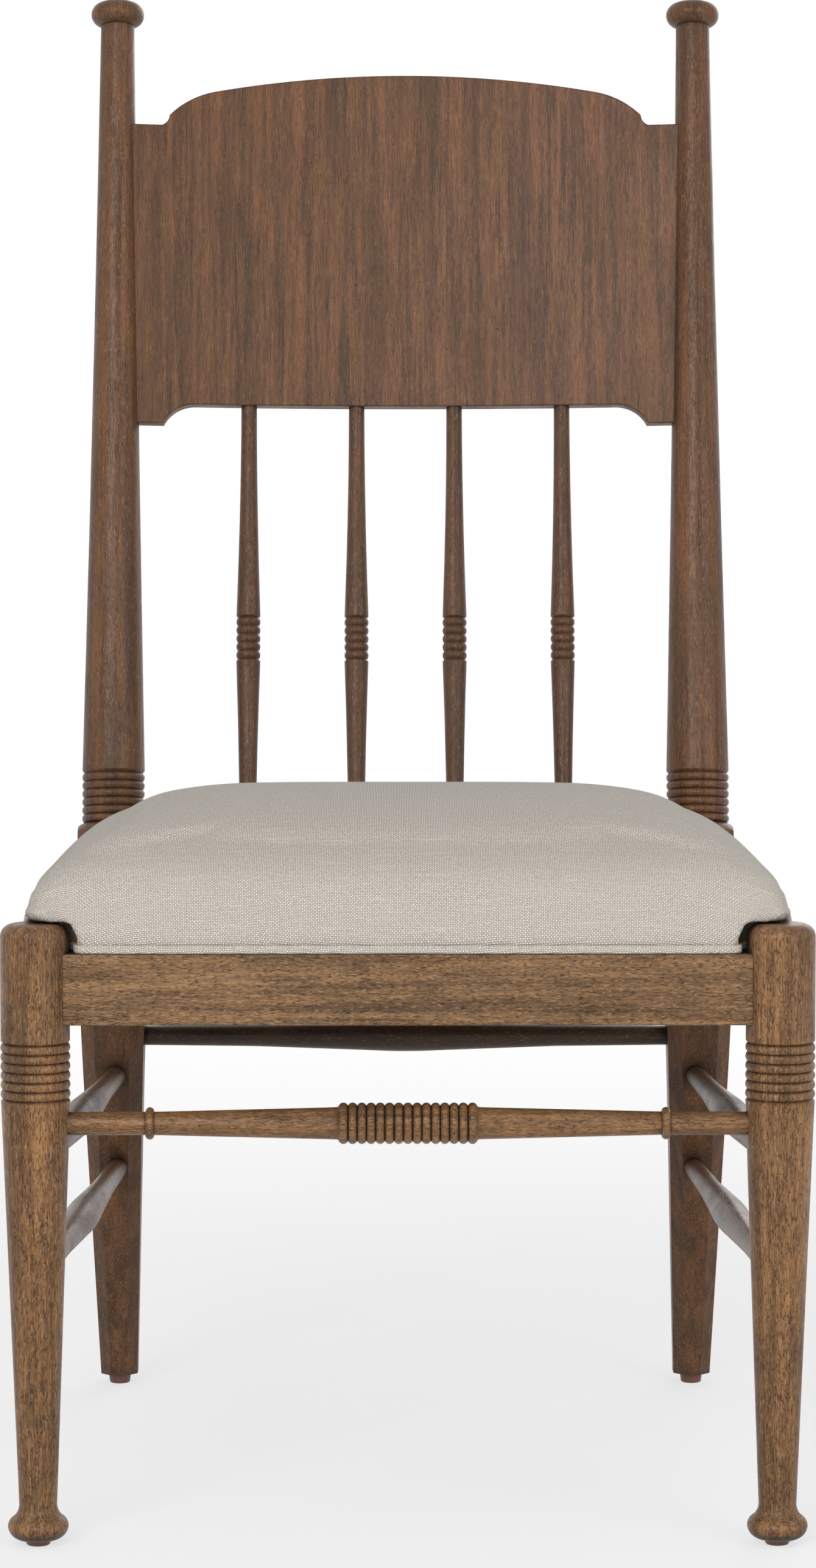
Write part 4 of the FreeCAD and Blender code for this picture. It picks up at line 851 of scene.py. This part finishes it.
class CHAIR_OT_turned_frame(bpy.types.Operator):
    """Stains the legs, posts, spindles, rails and stretchers."""
    bl_idname = "dining_chair.turned_frame"
    bl_label = "Stain the frame"

    def execute(self, context):
        oak = context.scene.dining_chair.oak
        turning = (oak.turning_light, oak.turning_dark, oak)
        post = (oak.post_light, oak.post_dark, oak)
        rail = (oak.rail_light, oak.rail_dark, oak)
        dress(UPRIGHT_TURNINGS, stained_oak("oak_front_leg", GRAIN_UP, *turning, crackle=oak.crackle, gloss=0.04))
        dress(POSTS, stained_oak("oak_back_post", GRAIN_LEANING, *post, crackle=0.6 * oak.crackle, gloss=0.03))
        dress(SPINDLES, stained_oak("oak_spindle", GRAIN_LEANING, oak.spindle_light, oak.spindle_dark, oak,
                                    crackle=0.6 * oak.crackle, gloss=0.03))
        dress(CROSS_RAILS, stained_oak("oak_cross_rail", GRAIN_ACROSS, *rail, crackle=oak.crackle))
        dress(SIDE_RAILS, stained_oak("oak_side_rail", GRAIN_BACKWARDS, *rail, crackle=oak.crackle))
        dress(("front_stretcher",), stained_oak("oak_front_stretcher", GRAIN_ACROSS, *turning,
                                                crackle=0.8 * oak.crackle, gloss=0.07))
        # Painted shade: the rear stretcher gets darker tones for the shade under the seat
        dress(("rear_stretcher",), stained_oak("oak_rear_stretcher_painted_shade", GRAIN_ACROSS, oak.rear_light, oak.rear_dark,
                                               oak, crackle=0.5 * oak.crackle, gloss=0.07))
        dress(SIDE_STRETCHERS, stained_oak("oak_side_stretcher", GRAIN_BACKWARDS, *post,
                                           crackle=0.4 * oak.crackle, gloss=0.08))
        return {"FINISHED"}


class CHAIR_OT_back_panel(bpy.types.Operator):
    """Stains the curved back panel."""
    bl_idname = "dining_chair.back_panel"
    bl_label = "Stain the back panel"

    def execute(self, context):
        oak = context.scene.dining_chair.oak
        dress(("back_panel",), stained_oak("oak_back_panel", GRAIN_LEANING, oak.panel_light, oak.panel_dark, oak,
                                           crackle=0.3 * oak.crackle, streak=0.85, gloss=-0.02))
        return {"FINISHED"}


class CHAIR_OT_seat_cushion(bpy.types.Operator):
    """Makes the stuffed linen cushion with its hem and stitches."""
    bl_idname = "dining_chair.seat_cushion"
    bl_label = "Make the seat cushion"

    def execute(self, context):
        settings = context.scene.dining_chair.cushion
        cushion = copied_form("seat_cushion", ("seat_cover", "seat_foam", "seat_board"))
        remesh = cushion.modifiers.new("even", "REMESH")
        remesh.mode = "VOXEL"
        remesh.voxel_size = settings.voxel
        finish_modifiers(cushion)
        path = foot_outline(cushion.data, 0.009, HEM_POINTS)
        round_crown(cushion)
        rows = points_of(cushion.data)
        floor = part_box("seat_cover")[0].z
        fade = soft_step(INSET_FROM, INSET_ALL, rows[:, 2] - floor)
        # The cloth keeps the form at its foot, and is 1.2 mm thicker where it wraps the board round the legs
        wrap = (1 - fade) * (1 - soft_step(0.031, 0.042, distance_to_legs(rows)))
        inset = settings.start_inset * fade - WRAP_THICK * wrap
        rows = rows - normals_of(cushion.data) * inset[:, None]
        rows[:, 2] = np.maximum(rows[:, 2], floor + 0.1 * MM)
        set_points(cushion.data, rows)
        puff_up(cushion, settings)
        rest_on_legs(cushion)
        divide = cushion.modifiers.new("divide", "SUBSURF")
        divide.levels = divide.render_levels = 1
        finish_modifiers(cushion)
        pucker(cushion)
        cushion.data.materials.clear()
        cloth = linen(settings)
        cushion.data.materials.append(cloth)
        smooth(cushion.data)
        crown = crown_height(cushion.data)
        lay_threads(cushion.data, crown)
        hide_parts("seat_cover", "seat_foam")
        hem, outward, foot = sew_hem(path, settings)
        lay_threads(hem.data, crown)
        hem.data.materials.append(cloth)
        stitches = sew_stitches(path, outward, foot, settings)
        stitches.data.materials.append(sewing_thread())
        for piece in (cushion, hem, stitches):
            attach(piece, "root")
        return {"FINISHED"}


class CHAIR_OT_underside(bpy.types.Operator):
    """Finishes the hidden parts: seat board, dust cover, corner blocks, fasteners and floor glides."""
    bl_idname = "dining_chair.underside"
    bl_label = "Finish the underside"

    def execute(self, context):
        dress(("seat_board",), birch_plywood())
        dress(("seat_dust_cover",), dust_cloth())
        dress(CORNER_BLOCKS, sawn_beech())
        dress(FASTENERS, zinc_plated_steel())
        dress(GLIDES, glide_plastic())
        return {"FINISHED"}


class CHAIR_PT_sidebar(bpy.types.Panel):
    """Lists what can be made and changed."""
    bl_idname = "CHAIR_PT_sidebar"
    bl_label = "Dining chair"
    bl_space_type = "VIEW_3D"
    bl_region_type = "UI"
    bl_category = "Dining chair"

    def draw(self, context):
        settings = context.scene.dining_chair
        for operator in OPERATORS:
            self.layout.operator(operator.bl_idname)
        for group in (settings.oak, settings.cushion, settings.studio):
            box = self.layout.box()
            for name in group.bl_rna.properties.keys():
                if name not in ("rna_type", "name"):
                    box.prop(group, name)


OPERATORS = (CHAIR_OT_studio, CHAIR_OT_turned_frame, CHAIR_OT_back_panel, CHAIR_OT_seat_cushion,
             CHAIR_OT_underside)
CLASSES = (OakSettings, CushionSettings, StudioSettings, ChairSettings, *OPERATORS, CHAIR_PT_sidebar)


def register():
    for each in CLASSES:
        bpy.utils.register_class(each)
    bpy.types.Scene.dining_chair = bpy.props.PointerProperty(type=ChairSettings, name="Dining chair",
                                                             description="Settings of the dining chair")


def unregister():
    del bpy.types.Scene.dining_chair
    for each in reversed(CLASSES):
        bpy.utils.unregister_class(each)


def main():
    """Builds everything in order."""
    register()
    bpy.ops.dining_chair.studio()
    bpy.ops.dining_chair.turned_frame()
    bpy.ops.dining_chair.back_panel()
    bpy.ops.dining_chair.seat_cushion()
    bpy.ops.dining_chair.underside()


if __name__ == "__main__":
    main()
